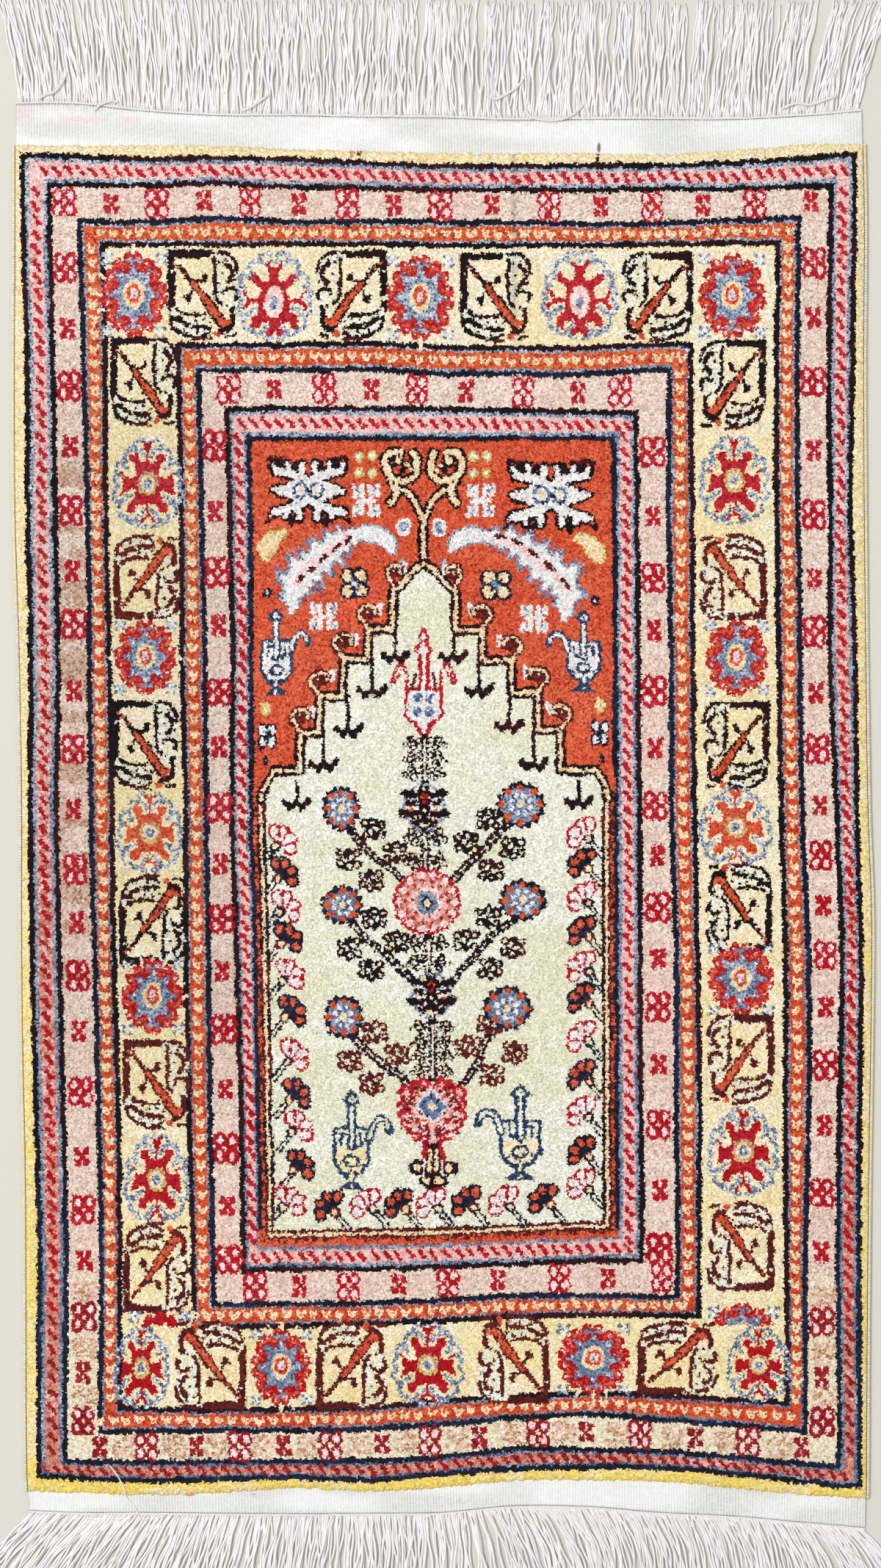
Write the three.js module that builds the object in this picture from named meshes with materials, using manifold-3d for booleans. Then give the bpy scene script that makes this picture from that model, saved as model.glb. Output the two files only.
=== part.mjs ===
// A small knotted silk prayer rug, laid flat: one cloth of pile with flat-woven ends,
// a wrapped cord down each long side, and a warp fringe at each end.
// Millimetres. X runs across the rug, Y along it towards the arch's point, Z up from the floor.

import * as THREE from 'three';
import Module from 'manifold-3d';
import { mergeVertices } from 'three/addons/utils/BufferGeometryUtils.js';

const wasm = await Module();
wasm.setup();

// Driving dimensions
const GAP = 0.3; // between pieces that meet
const PILE_TOP = 5.0;
const FLATWEAVE_TOP = 1.6;
const PILE_EDGE_TOP = 3.2; // the pile's height right at its rim
const PILE_SHOULDER = { inset: 1.5, top: 4.5 };
const PILE_FLAT_FROM = 4.0; // inset at which the pile is level
const PILE_ROLL = { height: 0.2, across: 41, along: 53 }; // how the level pile rises and falls

const SIDE_CORD_WIDTH = 2.4;
const SIDE_CORD_TOP = 2.6;
const SIDE_CORD_FOOT = 0.55; // shares of the width that lie flat on the floor and along the top
const SIDE_CORD_CROWN = 0.45;
const SIDE_CORD_WIDEST = 0.45; // share of the height at which it is widest
const END_CORD_WIDTH = 1.8;
const END_CORD_TOP = 1.8;

const STRANDS_AN_END = 148;
const STRAND_LENGTH = 82;
const STRAND_WIDTH = 1.5;
const STRAND_TOP = 1.3;
const STRAND_ROOT = 0.9; // how deep a strand is rooted in its cord
const STRAND_STEPS = 4;
const STRAND_SWAY = 3.5; // degrees, how far a strand waves from its line
const STRAND_WAVE = 5; // radians of that wave along a strand
const STRAND_TURNS = { sway: 2.4, phase: 1.7 }; // radians by which the next strand's wave differs
const END_MARGIN = 2.2; // from a cord's end to its first strand

// The cloth's long edges, at distances along it
const SIDES = [
  { along: 479, left: -289.5, right: 287.0 },
  { along: 400, left: -289.5, right: 288.5 },
  { along: 300, left: -290.0, right: 288.0 },
  { along: 200, left: -289.5, right: 288.5 },
  { along: 100, left: -286.5, right: 289.5 },
  { along: 0, left: -285.0, right: 291.0 },
  { along: -75, left: -285.0, right: 293.5 },
  { along: -150, left: -284.5, right: 293.0 },
  { along: -250, left: -282.5, right: 291.5 },
  { along: -350, left: -282.0, right: 290.5 },
  { along: -450, left: -281.5, right: 290.0 },
  { along: -490, left: -279.5, right: 289.5 },
];

// The cloth's ends: where the flat weave stops and where the pile starts, at distances across
const ENDS = [
  { across: -290, farEdge: 479.5, farPile: 451.5, nearPile: -465.5, nearEdge: -478.0 },
  { across: -250, farEdge: 479.5, farPile: 451.0, nearPile: -466.5, nearEdge: -480.0 },
  { across: -200, farEdge: 474.5, farPile: 451.5, nearPile: -468.0, nearEdge: -480.0 },
  { across: -150, farEdge: 471.5, farPile: 451.0, nearPile: -466.5, nearEdge: -480.5 },
  { across: -100, farEdge: 471.5, farPile: 448.5, nearPile: -463.5, nearEdge: -481.0 },
  { across: -50, farEdge: 470.5, farPile: 447.5, nearPile: -465.5, nearEdge: -480.5 },
  { across: 0, farEdge: 470.0, farPile: 446.0, nearPile: -463.0, nearEdge: -480.0 },
  { across: 50, farEdge: 468.5, farPile: 446.0, nearPile: -458.5, nearEdge: -475.5 },
  { across: 100, farEdge: 469.0, farPile: 446.0, nearPile: -458.0, nearEdge: -476.0 },
  { across: 150, farEdge: 469.0, farPile: 445.5, nearPile: -459.0, nearEdge: -480.0 },
  { across: 200, farEdge: 469.0, farPile: 448.0, nearPile: -463.5, nearEdge: -482.5 },
  { across: 250, farEdge: 471.5, farPile: 452.0, nearPile: -468.0, nearEdge: -487.0 },
  { across: 290, farEdge: 475.0, farPile: 452.5, nearPile: -470.5, nearEdge: -490.5 },
];

// How the fringe is combed: each strand's angle from straight out, at its root and at its tip
const FAR_COMB = [
  { across: -290, root: -6, tip: -16 },
  { across: -150, root: 0, tip: -4 },
  { across: 0, root: 0, tip: 3 },
  { across: 150, root: 2, tip: 5 },
  { across: 250, root: 6, tip: 14 },
  { across: 290, root: 14, tip: 32 },
];
const NEAR_COMB = [
  { across: -290, root: -50, tip: -24 },
  { across: -200, root: -36, tip: -24 },
  { across: -150, root: -20, tip: -12 },
  { across: -50, root: 0, tip: -8 },
  { across: 0, root: 8, tip: -6 },
  { across: 50, root: 30, tip: 8 },
  { across: 100, root: 34, tip: -12 },
  { across: 200, root: 30, tip: -20 },
  { across: 250, root: 38, tip: 2 },
  { across: 290, root: 48, tip: 30 },
];

// An old fold that still parts the pile, near the middle of the far end. It dies out over a share of
// its length, and the grid's other columns stay a few half widths away from it
const CREASE = { across: 48.5, from: 452, to: 335, halfWidth: 4, depth: 1.1, fade: 0.4, clear: 1.6 };

// The level pile's grid, between lines that stay inside its rim all along
const GRID = { columns: 20, left: -285, right: 287, rows: 30, near: -462, far: 448 };
const CORNERS = { left: -285, right: 289 }; // about where the long edges meet the ends
const CORD_STEPS = 44;

const COLOURS = {
  pile: { color: 0xd9a78c, roughness: 0.62 },
  sideCord: { color: 0xdcdad2, roughness: 0.7 },
  fringe: { color: 0xe6ddd6, roughness: 0.68 },
};

// Smooth readings between a table's rows

function reading(table, key, column, at) {
  const rows = [...table].sort((a, b) => a[key] - b[key]);
  const last = rows.length - 1;
  const next = rows.findIndex((row) => row[key] > at);
  const i = next < 0 ? last - 1 : Math.max(next - 1, 0);
  const [a, b] = [rows[i], rows[i + 1]];
  const span = b[key] - a[key];
  const t = THREE.MathUtils.clamp((at - a[key]) / span, 0, 1);
  const slope = (low, high) => ((high[column] - low[column]) / (high[key] - low[key])) * span;
  const startSlope = slope(rows[Math.max(i - 1, 0)], b);
  const endSlope = slope(a, rows[Math.min(i + 2, last)]);
  const [t2, t3] = [t * t, t * t * t];
  return (
    (2 * t3 - 3 * t2 + 1) * a[column] +
    (t3 - 2 * t2 + t) * startSlope +
    (3 * t2 - 2 * t3) * b[column] +
    (t3 - t2) * endSlope
  );
}

const side = (column, along) => reading(SIDES, 'along', column, along);
const end = (column, across) => reading(ENDS, 'across', column, across);

// Closed meshes from rows of points

function solid(points, faces) {
  const geometry = new THREE.BufferGeometry();
  geometry.setAttribute('position', new THREE.Float32BufferAttribute(points.flat(), 3));
  geometry.setIndex(faces.flat());
  return geometry;
}

// Rings of the same number of points, counted anticlockwise as seen from the last ring
function loft(rings) {
  const size = rings[0].length;
  const faces = [];
  for (let ring = 0; ring < rings.length - 1; ring += 1) {
    for (let i = 0; i < size; i += 1) {
      const a = ring * size + i;
      const b = ring * size + ((i + 1) % size);
      faces.push([a, b, b + size], [a, b + size, a + size]);
    }
  }
  const lastRing = (rings.length - 1) * size;
  for (let i = 1; i < size - 1; i += 1) {
    faces.push([0, i + 1, i], [lastRing, lastRing + i, lastRing + i + 1]);
  }
  return solid(rings.flat(), faces);
}

function toManifold(geometry) {
  const merged = mergeVertices(geometry.clone().deleteAttribute('normal').deleteAttribute('uv'), 1e-4);
  const mesh = new wasm.Mesh({
    numProp: 3,
    vertProperties: new Float32Array(merged.attributes.position.array),
    triVerts: new Uint32Array(merged.index.array),
  });
  return new wasm.Manifold(mesh);
}

function fromManifold(manifold) {
  const mesh = manifold.getMesh();
  const geometry = new THREE.BufferGeometry();
  geometry.setAttribute('position', new THREE.BufferAttribute(mesh.vertProperties, 3));
  geometry.setIndex(new THREE.BufferAttribute(mesh.triVerts, 1));
  return geometry;
}

// The cloth

function levels(count, from, to) {
  return Array.from({ length: count }, (_, i) => from + ((to - from) * (i + 1)) / (count + 1));
}

// Columns at an inset from a long edge, so that the rim follows it, or at a plain distance across
function columns() {
  const insets = [0, PILE_SHOULDER.inset, PILE_FLAT_FROM];
  const crease = [-1, -0.5, 0, 0.5, 1].map((s) => CREASE.across + s * CREASE.halfWidth);
  const inner = levels(GRID.columns, GRID.left, GRID.right).filter(
    (x) => Math.abs(x - CREASE.across) > CREASE.clear * CREASE.halfWidth,
  );
  return [
    ...insets.map((inset) => ({ side: 'left', inset })),
    ...[...inner, ...crease].sort((a, b) => a - b).map((across) => ({ across })),
    ...insets.reverse().map((inset) => ({ side: 'right', inset: -inset })),
  ];
}

// Rows likewise: on a line of the ends, on a pile's line moved in by an inset, or level
function rows() {
  const insets = [0, PILE_SHOULDER.inset, PILE_FLAT_FROM];
  return [
    { edge: 'nearEdge', pile: 0 },
    ...insets.map((inset) => ({ edge: 'nearPile', shift: inset, pile: inset })),
    ...levels(GRID.rows, GRID.near, GRID.far).map((along) => ({ along, pile: PILE_FLAT_FROM })),
    ...insets.reverse().map((inset) => ({ edge: 'farPile', shift: -inset, pile: inset })),
    { edge: 'farEdge', pile: 0 },
  ];
}

function shoulder(inset, edgeTop) {
  const { inset: middle, top } = PILE_SHOULDER;
  if (inset < middle) return THREE.MathUtils.mapLinear(inset, 0, middle, edgeTop, top);
  return THREE.MathUtils.mapLinear(Math.min(inset, PILE_FLAT_FROM), middle, PILE_FLAT_FROM, top, PILE_TOP);
}

function creaseDepth(across, along) {
  const beside = Math.abs(across - CREASE.across) / CREASE.halfWidth;
  if (beside >= 1 || along < CREASE.to) return 0;
  const whole = THREE.MathUtils.lerp(CREASE.to, CREASE.from, CREASE.fade);
  const fade = THREE.MathUtils.smoothstep(along, CREASE.to, whole);
  return CREASE.depth * fade * Math.cos((beside * Math.PI) / 2) ** 2;
}

function pileHeight(column, row, across, along) {
  if (!row.pile) return FLATWEAVE_TOP;
  const sideInset = column.side ? Math.abs(column.inset) : PILE_FLAT_FROM;
  const rim = Math.min(shoulder(sideInset, PILE_EDGE_TOP), shoulder(row.pile, FLATWEAVE_TOP));
  const level = sideInset >= PILE_FLAT_FROM && row.pile >= PILE_FLAT_FROM;
  const roll = PILE_ROLL.height * Math.sin(across / PILE_ROLL.across) * Math.sin(along / PILE_ROLL.along);
  return rim + (level ? roll : 0) - creaseDepth(across, along);
}

function cloth() {
  const cols = columns();
  const lines = rows();
  const top = lines.flatMap((row) =>
    cols.map((column) => {
      const near = row.edge ? end(row.edge, column.across ?? CORNERS[column.side]) : row.along;
      const across = column.side ? side(column.side, near) + column.inset : column.across;
      const along = row.edge ? end(row.edge, across) + (row.shift ?? 0) : row.along;
      return [across, along, pileHeight(column, row, across, along)];
    }),
  );
  const width = cols.length;
  const faces = [];
  for (let j = 0; j < lines.length - 1; j += 1) {
    for (let i = 0; i < width - 1; i += 1) {
      const a = j * width + i;
      faces.push([a, a + 1, a + 1 + width], [a, a + 1 + width, a + width]);
    }
  }
  const rim = [
    ...cols.map((_, i) => i),
    ...lines.slice(1).map((_, j) => (j + 1) * width + width - 1),
    ...cols.slice(1).map((_, i) => (lines.length - 1) * width + width - 2 - i),
    ...lines.slice(1, -1).map((_, j) => (lines.length - 2 - j) * width),
  ];
  const floor = rim.map((i) => [top[i][0], top[i][1], 0]);
  const below = (k) => top.length + (k % rim.length);
  rim.forEach((a, k) => {
    const b = rim[(k + 1) % rim.length];
    faces.push([a, below(k), below(k + 1)], [a, below(k + 1), b]);
  });
  const outline = floor.map(([x, y]) => new THREE.Vector2(x, y));
  THREE.ShapeUtils.triangulateShape(outline, []).forEach(([a, b, c]) => {
    faces.push([below(a), below(c), below(b)]);
  });
  return solid([...top, ...floor], faces);
}

// The side cords: a low six-sided section, flat underneath

function sideSection() {
  const half = SIDE_CORD_WIDTH / 2;
  return [
    [-SIDE_CORD_FOOT * half, 0],
    [SIDE_CORD_FOOT * half, 0],
    [half, SIDE_CORD_WIDEST * SIDE_CORD_TOP],
    [SIDE_CORD_CROWN * half, SIDE_CORD_TOP],
    [-SIDE_CORD_CROWN * half, SIDE_CORD_TOP],
    [-half, SIDE_CORD_WIDEST * SIDE_CORD_TOP],
  ];
}

function sideCord(name) {
  const out = name === 'left' ? -1 : 1;
  const [near, far] = [end('nearPile', CORNERS[name]), end('farPile', CORNERS[name])];
  const section = sideSection();
  const rings = Array.from({ length: CORD_STEPS + 1 }, (_, i) => {
    const along = THREE.MathUtils.lerp(far, near, i / CORD_STEPS);
    const middle = side(name, along) + out * (GAP + SIDE_CORD_WIDTH / 2);
    return section.map(([x, z]) => [middle + x, along, z]);
  });
  return loft(rings);
}

// The fringe: a twined cord along the cloth's end, with the strands rooted in it

function endSection() {
  const half = END_CORD_WIDTH / 2;
  return [
    [-half, 0],
    [half, 0],
    [half, END_CORD_TOP],
    [-half, END_CORD_TOP],
  ];
}

function endCord(edge, out) {
  const section = endSection();
  const left = side('left', end(edge, CORNERS.left));
  const right = side('right', end(edge, CORNERS.right));
  const rings = Array.from({ length: CORD_STEPS + 1 }, (_, i) => {
    const across = THREE.MathUtils.lerp(left, right, i / CORD_STEPS);
    const middle = end(edge, across) + out * (GAP + END_CORD_WIDTH / 2);
    return section.map(([y, z]) => [across, middle + y, z]);
  });
  return { geometry: loft(rings), left, right };
}

function strandPath(number, across, start, comb, out) {
  const sway = STRAND_SWAY * Math.sin(number * STRAND_TURNS.sway);
  const phase = number * STRAND_TURNS.phase;
  const root = reading(comb, 'across', 'root', across);
  const tip = reading(comb, 'across', 'tip', across);
  const step = STRAND_LENGTH / STRAND_STEPS;
  let [x, y] = [across, start];
  return Array.from({ length: STRAND_STEPS + 1 }, (_, i) => {
    const t = (i - 0.5) / STRAND_STEPS;
    const wave = sway * Math.sin(phase + STRAND_WAVE * t);
    const angle = THREE.MathUtils.degToRad(THREE.MathUtils.lerp(root, tip, t) + wave);
    if (i > 0) {
      x += step * Math.sin(angle);
      y += out * step * Math.cos(angle);
    }
    return { x, y, angle };
  });
}

function strand(number, across, edge, comb, out) {
  const start = end(edge, across) + out * (GAP + END_CORD_WIDTH - STRAND_ROOT);
  const half = STRAND_WIDTH / 2;
  const rings = strandPath(number, across, start, comb, out).map(({ x, y, angle }) => {
    const [wide, tall] = [half * Math.cos(angle), -out * half * Math.sin(angle)];
    const triangle = [
      [x - wide, y - tall, 0],
      [x + wide, y + tall, 0],
      [x, y, STRAND_TOP],
    ];
    return out > 0 ? triangle.reverse() : triangle;
  });
  return loft(rings);
}

function fringe(edge, comb, out) {
  const cord = endCord(edge, out);
  let joined = toManifold(cord.geometry);
  for (let i = 0; i < STRANDS_AN_END; i += 1) {
    const share = i / (STRANDS_AN_END - 1);
    const across = THREE.MathUtils.lerp(cord.left + END_MARGIN, cord.right - END_MARGIN, share);
    joined = joined.add(toManifold(strand(i, across, edge, comb, out)));
  }
  return fromManifold(joined);
}

// The scene graph

function piece(name, geometry, finish) {
  const material = new THREE.MeshStandardMaterial({ ...finish, metalness: 0 });
  const mesh = new THREE.Mesh(geometry, material);
  mesh.name = name;
  return mesh;
}

const rug = new THREE.Group();
rug.add(
  piece('rug', cloth(), COLOURS.pile),
  piece('selvedge_left', sideCord('left'), COLOURS.sideCord),
  piece('selvedge_right', sideCord('right'), COLOURS.sideCord),
  piece('fringe_top', fringe('farEdge', FAR_COMB, 1), COLOURS.fringe),
  piece('fringe_bottom', fringe('nearEdge', NEAR_COMB, -1), COLOURS.fringe),
);

// The origin is the middle of everything, on the floor
const middle = new THREE.Box3().setFromObject(rug).getCenter(new THREE.Vector3());
rug.position.set(-middle.x, -middle.y, 0);

export default rug;
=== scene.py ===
# A small knotted silk prayer rug, laid flat: patterned pile on a pale ground, flat-woven ends,
# wrapped side cords, twined end cords and a long warp fringe, on a plain studio floor.
#
# The pattern is a weaver's chart. It counts in quarter-knots of half a millimetre: across from the
# left, and down from the far end, so that places on it can be read against the woven rug.

import math

import bpy
import numpy as np
from bpy.props import FloatProperty, FloatVectorProperty, IntProperty, PointerProperty
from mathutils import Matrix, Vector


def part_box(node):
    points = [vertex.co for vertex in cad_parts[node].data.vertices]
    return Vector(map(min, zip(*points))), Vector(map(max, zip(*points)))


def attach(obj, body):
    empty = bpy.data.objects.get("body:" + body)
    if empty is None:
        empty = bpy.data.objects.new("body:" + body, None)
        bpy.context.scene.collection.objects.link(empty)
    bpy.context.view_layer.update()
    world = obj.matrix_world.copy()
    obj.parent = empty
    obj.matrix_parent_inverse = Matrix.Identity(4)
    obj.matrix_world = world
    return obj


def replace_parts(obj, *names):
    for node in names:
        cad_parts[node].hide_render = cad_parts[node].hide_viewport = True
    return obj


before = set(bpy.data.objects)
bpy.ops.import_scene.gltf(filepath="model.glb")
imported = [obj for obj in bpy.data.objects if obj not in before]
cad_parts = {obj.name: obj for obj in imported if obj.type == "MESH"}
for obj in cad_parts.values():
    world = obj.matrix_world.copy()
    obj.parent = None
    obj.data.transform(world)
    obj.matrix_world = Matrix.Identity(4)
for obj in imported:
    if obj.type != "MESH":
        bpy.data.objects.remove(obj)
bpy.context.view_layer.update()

bl_info = {
    "name": "Knotted silk prayer rug",
    "version": (1, 0),
    "blender": (4, 5, 0),
    "location": "3D View > Sidebar > Rug",
    "description": "A small knotted silk prayer rug, laid flat, with its fringe",
    "category": "Object",
}

MM = 0.001
QUARTER = 0.5 * MM  # a quarter of a knot, the chart's step

# The cloth, in millimetres

PILE_TOP = 5.0
FLATWEAVE_TOP = 1.6
PILE_EDGE_TOP = 3.8  # the pile's height right at its rim
SHOULDER_INSET, SHOULDER_TOP = 1.5, 4.5
PILE_FLAT_FROM = 4.0
PILE_ROLL = 0.2
PILE_WIDTH, PILE_LENGTH, PILE_FAR = 577, 915, 450  # about, for spacing what fills it
GROUND_TOP = 1.2  # the ground weave under the pile
ROLL_ACROSS, ROLL_ALONG = 41, 53
CORD_GAP = 0.3
SIDE_CORD_WIDTH, SIDE_CORD_TOP = 2.4, 3.5
END_CORD_WIDTH, END_CORD_TOP = 1.8, 1.8
CREASE = {"across": 48.5, "start": 452, "stop": 335, "half_width": 4, "depth": 1.1}
CREASE_SHADED = (470, 410)  # how far down the chart its shading ends, and where it is full

# The cloth's long edges at distances along it, and its ends at distances across

SIDES = {
    "along": (479, 400, 300, 200, 100, 0, -75, -150, -250, -350, -450, -490),
    "left": (-289.5, -289.5, -290, -289.5, -286.5, -285, -285, -284.5, -282.5, -282, -281.5, -279.5),
    "right": (287, 288.5, 288, 288.5, 289.5, 291, 293.5, 293, 291.5, 290.5, 290, 289.5),
}
ENDS = {
    "across": (-290, -250, -200, -150, -100, -50, 0, 50, 100, 150, 200, 250, 290),
    "far_edge": (479.5, 479.5, 474.5, 471.5, 471.5, 470.5, 470, 468.5, 469, 469, 469, 471.5, 475),
    "far_pile": (451.5, 451, 451.5, 451, 448.5, 447.5, 446, 446, 446, 445.5, 448, 452, 452.5),
    "near_pile": (
        -465.5, -466.5, -468, -466.5, -463.5, -465.5, -463, -458.5, -458, -459, -463.5, -468, -470.5,
    ),
    "near_edge": (-478, -480, -480, -480.5, -481, -480.5, -480, -475.5, -476, -480, -482.5, -487, -490.5),
}

# The chart: 600 quarter-knots across is the cloth's middle line, 1100 down its zero along

CHART_SIZE = (1200, 2135)
CHART_MIDDLE, CHART_ZERO = 600, 1100
KNOT_ACROSS, KNOT_DOWN = 4, 3.6


def through(keys, values, at):
    """Reads a smooth line through a table's rows, at one place or many."""
    order = np.argsort(keys)
    keys, values = np.asarray(keys, float)[order], np.asarray(values, float)[order]
    last = len(keys) - 1
    i = np.clip(np.searchsorted(keys, at, side="right") - 1, 0, last - 1)
    before, after = np.maximum(i - 1, 0), np.minimum(i + 2, last)
    span = keys[i + 1] - keys[i]
    t = np.clip((at - keys[i]) / span, 0, 1)
    slope = (values[i + 1] - values[before]) / (keys[i + 1] - keys[before]) * span
    next_slope = (values[after] - values[i]) / (keys[after] - keys[i]) * span
    line = (2 * t**3 - 3 * t**2 + 1) * values[i] + (t**3 - 2 * t**2 + t) * slope
    return line + (3 * t**2 - 2 * t**3) * values[i + 1] + (t**3 - t**2) * next_slope


def ramp(at, start, stop):
    """From 0 at the start to 1 at the stop, and level beyond both."""
    return np.clip((at - start) / (stop - start), 0, 1)


def side(name, along):
    return through(SIDES["along"], SIDES[name], along)


def end(name, across):
    return through(ENDS["across"], ENDS[name], across)


def cloth_shift():
    """Where the cloth's zero lies in the frame, whose origin is the middle of rug and fringe."""
    low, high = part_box("rug")
    across = (min(SIDES["left"]) + max(SIDES["right"])) / 2 * MM
    along = (max(ENDS["far_edge"]) + min(ENDS["near_edge"])) / 2 * MM
    return (low.x + high.x) / 2 - across, (low.y + high.y) / 2 - along


SHIFT_X, SHIFT_Y = cloth_shift()


def in_frame(across, along, height):
    """Points of the cloth, in millimetres, as points of the frame, in metres."""
    across, along, height = np.broadcast_arrays(across, along, height)
    return np.stack([across * MM + SHIFT_X, along * MM + SHIFT_Y, height * MM], axis=-1)


# Even, repeatable unevenness


def scatter(x, y, seed):
    """A value from 0 to 1 for each whole-numbered place, as if drawn at random."""
    mixed = np.sin(np.floor(x) * 127.1 + np.floor(y) * 311.7 + seed * 74.7) * 43758.5453
    return mixed - np.floor(mixed)


def drift(x, y, wide, high, seed):
    """Soft patches from 0 to 1, each about wide by high."""
    u, v = np.asarray(x) / wide, np.asarray(y) / high
    fu, fv = u - np.floor(u), v - np.floor(v)
    fu, fv = fu * fu * (3 - 2 * fu), fv * fv * (3 - 2 * fv)
    low = scatter(u, v, seed) * (1 - fu) + scatter(u + 1, v, seed) * fu
    high_row = scatter(u, v + 1, seed) * (1 - fu) + scatter(u + 1, v + 1, seed) * fu
    return low * (1 - fv) + high_row * fv


def toward(tones, other, share):
    """Tones moved a share of the way to another."""
    return tones + (np.asarray(other) - tones) * share[..., None]


# Drawing on the chart


class Loom:
    """Lays yarn on the chart. Points are quarter-knots from the loom's own place, turned with it."""

    def __init__(self, chart, x=0.0, y=0.0, across=(1.0, 0.0), down=(0.0, 1.0), both=False):
        self.chart = chart
        self.place = np.array((x, y), float)
        self.turning = np.array((across, down), float)
        self.both = both

    def at(self, x, y, wide=1.0, high=1.0, turned=0.0):
        """A loom at another place, stretched, flipped by a negative size, or turned in degrees."""
        place = self.place + np.array((x, y), float) @ self.turning
        c, s = math.cos(math.radians(turned)), math.sin(math.radians(turned))
        local = np.array(((wide * c, wide * s), (-high * s, high * c)))
        return Loom(self.chart, *place, *(local @ self.turning))

    def mirrored(self):
        """The same loom, which also lays everything on the other side of its middle line."""
        return Loom(self.chart, *self.place, *self.turning, both=True)

    def _each(self, points):
        points = np.asarray(points, float).reshape(-1, 2)
        yield points @ self.turning + self.place
        if self.both:
            yield points * (-1, 1) @ self.turning + self.place

    def _window(self, points, spare):
        low = np.floor(points.min(0) - spare).astype(int)
        high = np.ceil(points.max(0) + spare).astype(int) + 1
        left, top = np.maximum(low, 0)
        right, bottom = np.minimum(high, CHART_SIZE)
        if left >= right or top >= bottom:
            return None
        window = self.chart[top:bottom, left:right]
        x, y = np.meshgrid(np.arange(left, right), np.arange(top, bottom))
        return window, x, y

    def shape(self, yarn, *points):
        """Fills an outline."""
        for outline in self._each(points):
            found = self._window(outline, 1)
            if found is None:
                continue
            window, x, y = found
            inside = np.zeros(x.shape, bool)
            for (ax, ay), (bx, by) in zip(outline, np.roll(outline, -1, 0)):
                if ay == by:
                    continue
                crossing = (y < ay) != (y < by)
                inside ^= crossing & (x < (bx - ax) * (y - ay) / (by - ay) + ax)
            window[inside] = YARN[yarn]

    def line(self, yarn, width, *points):
        """Lays a line of one width through the points."""
        scale = math.sqrt(abs(np.linalg.det(self.turning)))
        reach = width * scale / 2
        for path in self._each(points):
            found = self._window(path, reach + 1)
            if found is None:
                continue
            window, x, y = found
            near = np.full(x.shape, np.inf)
            if len(path) == 1:
                near = np.hypot(x - path[0, 0], y - path[0, 1])
            for (ax, ay), (bx, by) in zip(path, path[1:]):
                long2 = (bx - ax) ** 2 + (by - ay) ** 2 or 1.0
                t = np.clip(((x - ax) * (bx - ax) + (y - ay) * (by - ay)) / long2, 0, 1)
                near = np.minimum(near, np.hypot(x - ax - t * (bx - ax), y - ay - t * (by - ay)))
            window[near <= reach] = YARN[yarn]

    def curve(self, yarn, width, *points):
        """Lays a line that bends smoothly through the points."""
        self.line(yarn, width, *bend(points))

    def disc(self, yarn, x, y, across, down):
        self.shape(yarn, *oval(x, y, across, down))

    def nest(self, x, y, *discs):
        """Lays discs of one middle, the largest first."""
        for yarn, across, down in discs:
            self.disc(yarn, x, y, across, down)

    def ring(self, yarn, width, x, y, across, down):
        around = oval(x, y, across, down)
        self.line(yarn, width, *around, around[0])

    def dots(self, yarn, size, *points):
        for point in points:
            self.line(yarn, size, point)


def corners(across, far, near=None):
    """Four places round a middle, the far pair first."""
    return [(way * across, down) for down in (-far, far if near is None else near) for way in (-1, 1)]


def bend(points, steps=5):
    points = np.asarray(points, float)
    marks = np.arange(len(points))
    at = np.linspace(0, len(points) - 1, steps * (len(points) - 1) + 1)
    return np.stack([through(marks, points[:, axis], at) for axis in (0, 1)], axis=1)


def square_to(line):
    """Steps of one quarter-knot across a line, at each of its points."""
    run = np.gradient(line, axis=0)
    return np.stack([-run[:, 1], run[:, 0]], axis=1) / np.hypot(*run.T)[:, None]


def leaf_spine(spine, widths, steps):
    """A leaf's middle line, the way across it and its half width, at each of its points."""
    line = bend(spine, steps)
    wide = through(np.linspace(0, 1, len(widths)), widths, np.linspace(0, 1, len(line)))
    return line, square_to(line), wide[:, None]


def turns(count):
    """Even turns of a full round, in radians."""
    return np.arange(count) * math.tau / count


def on_oval(turn, across, down, x=0, y=0):
    return x + across * math.cos(turn), y + down * math.sin(turn)


def oval(x, y, across, down):
    return [on_oval(turn, across, down, x, y) for turn in turns(18)]


# The yarns. Each has its main tone, the tone of its darker or duller knots, and the tone that it
# drifts to: in short streaks across, in broad patches, and more and more towards the near end.

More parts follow.
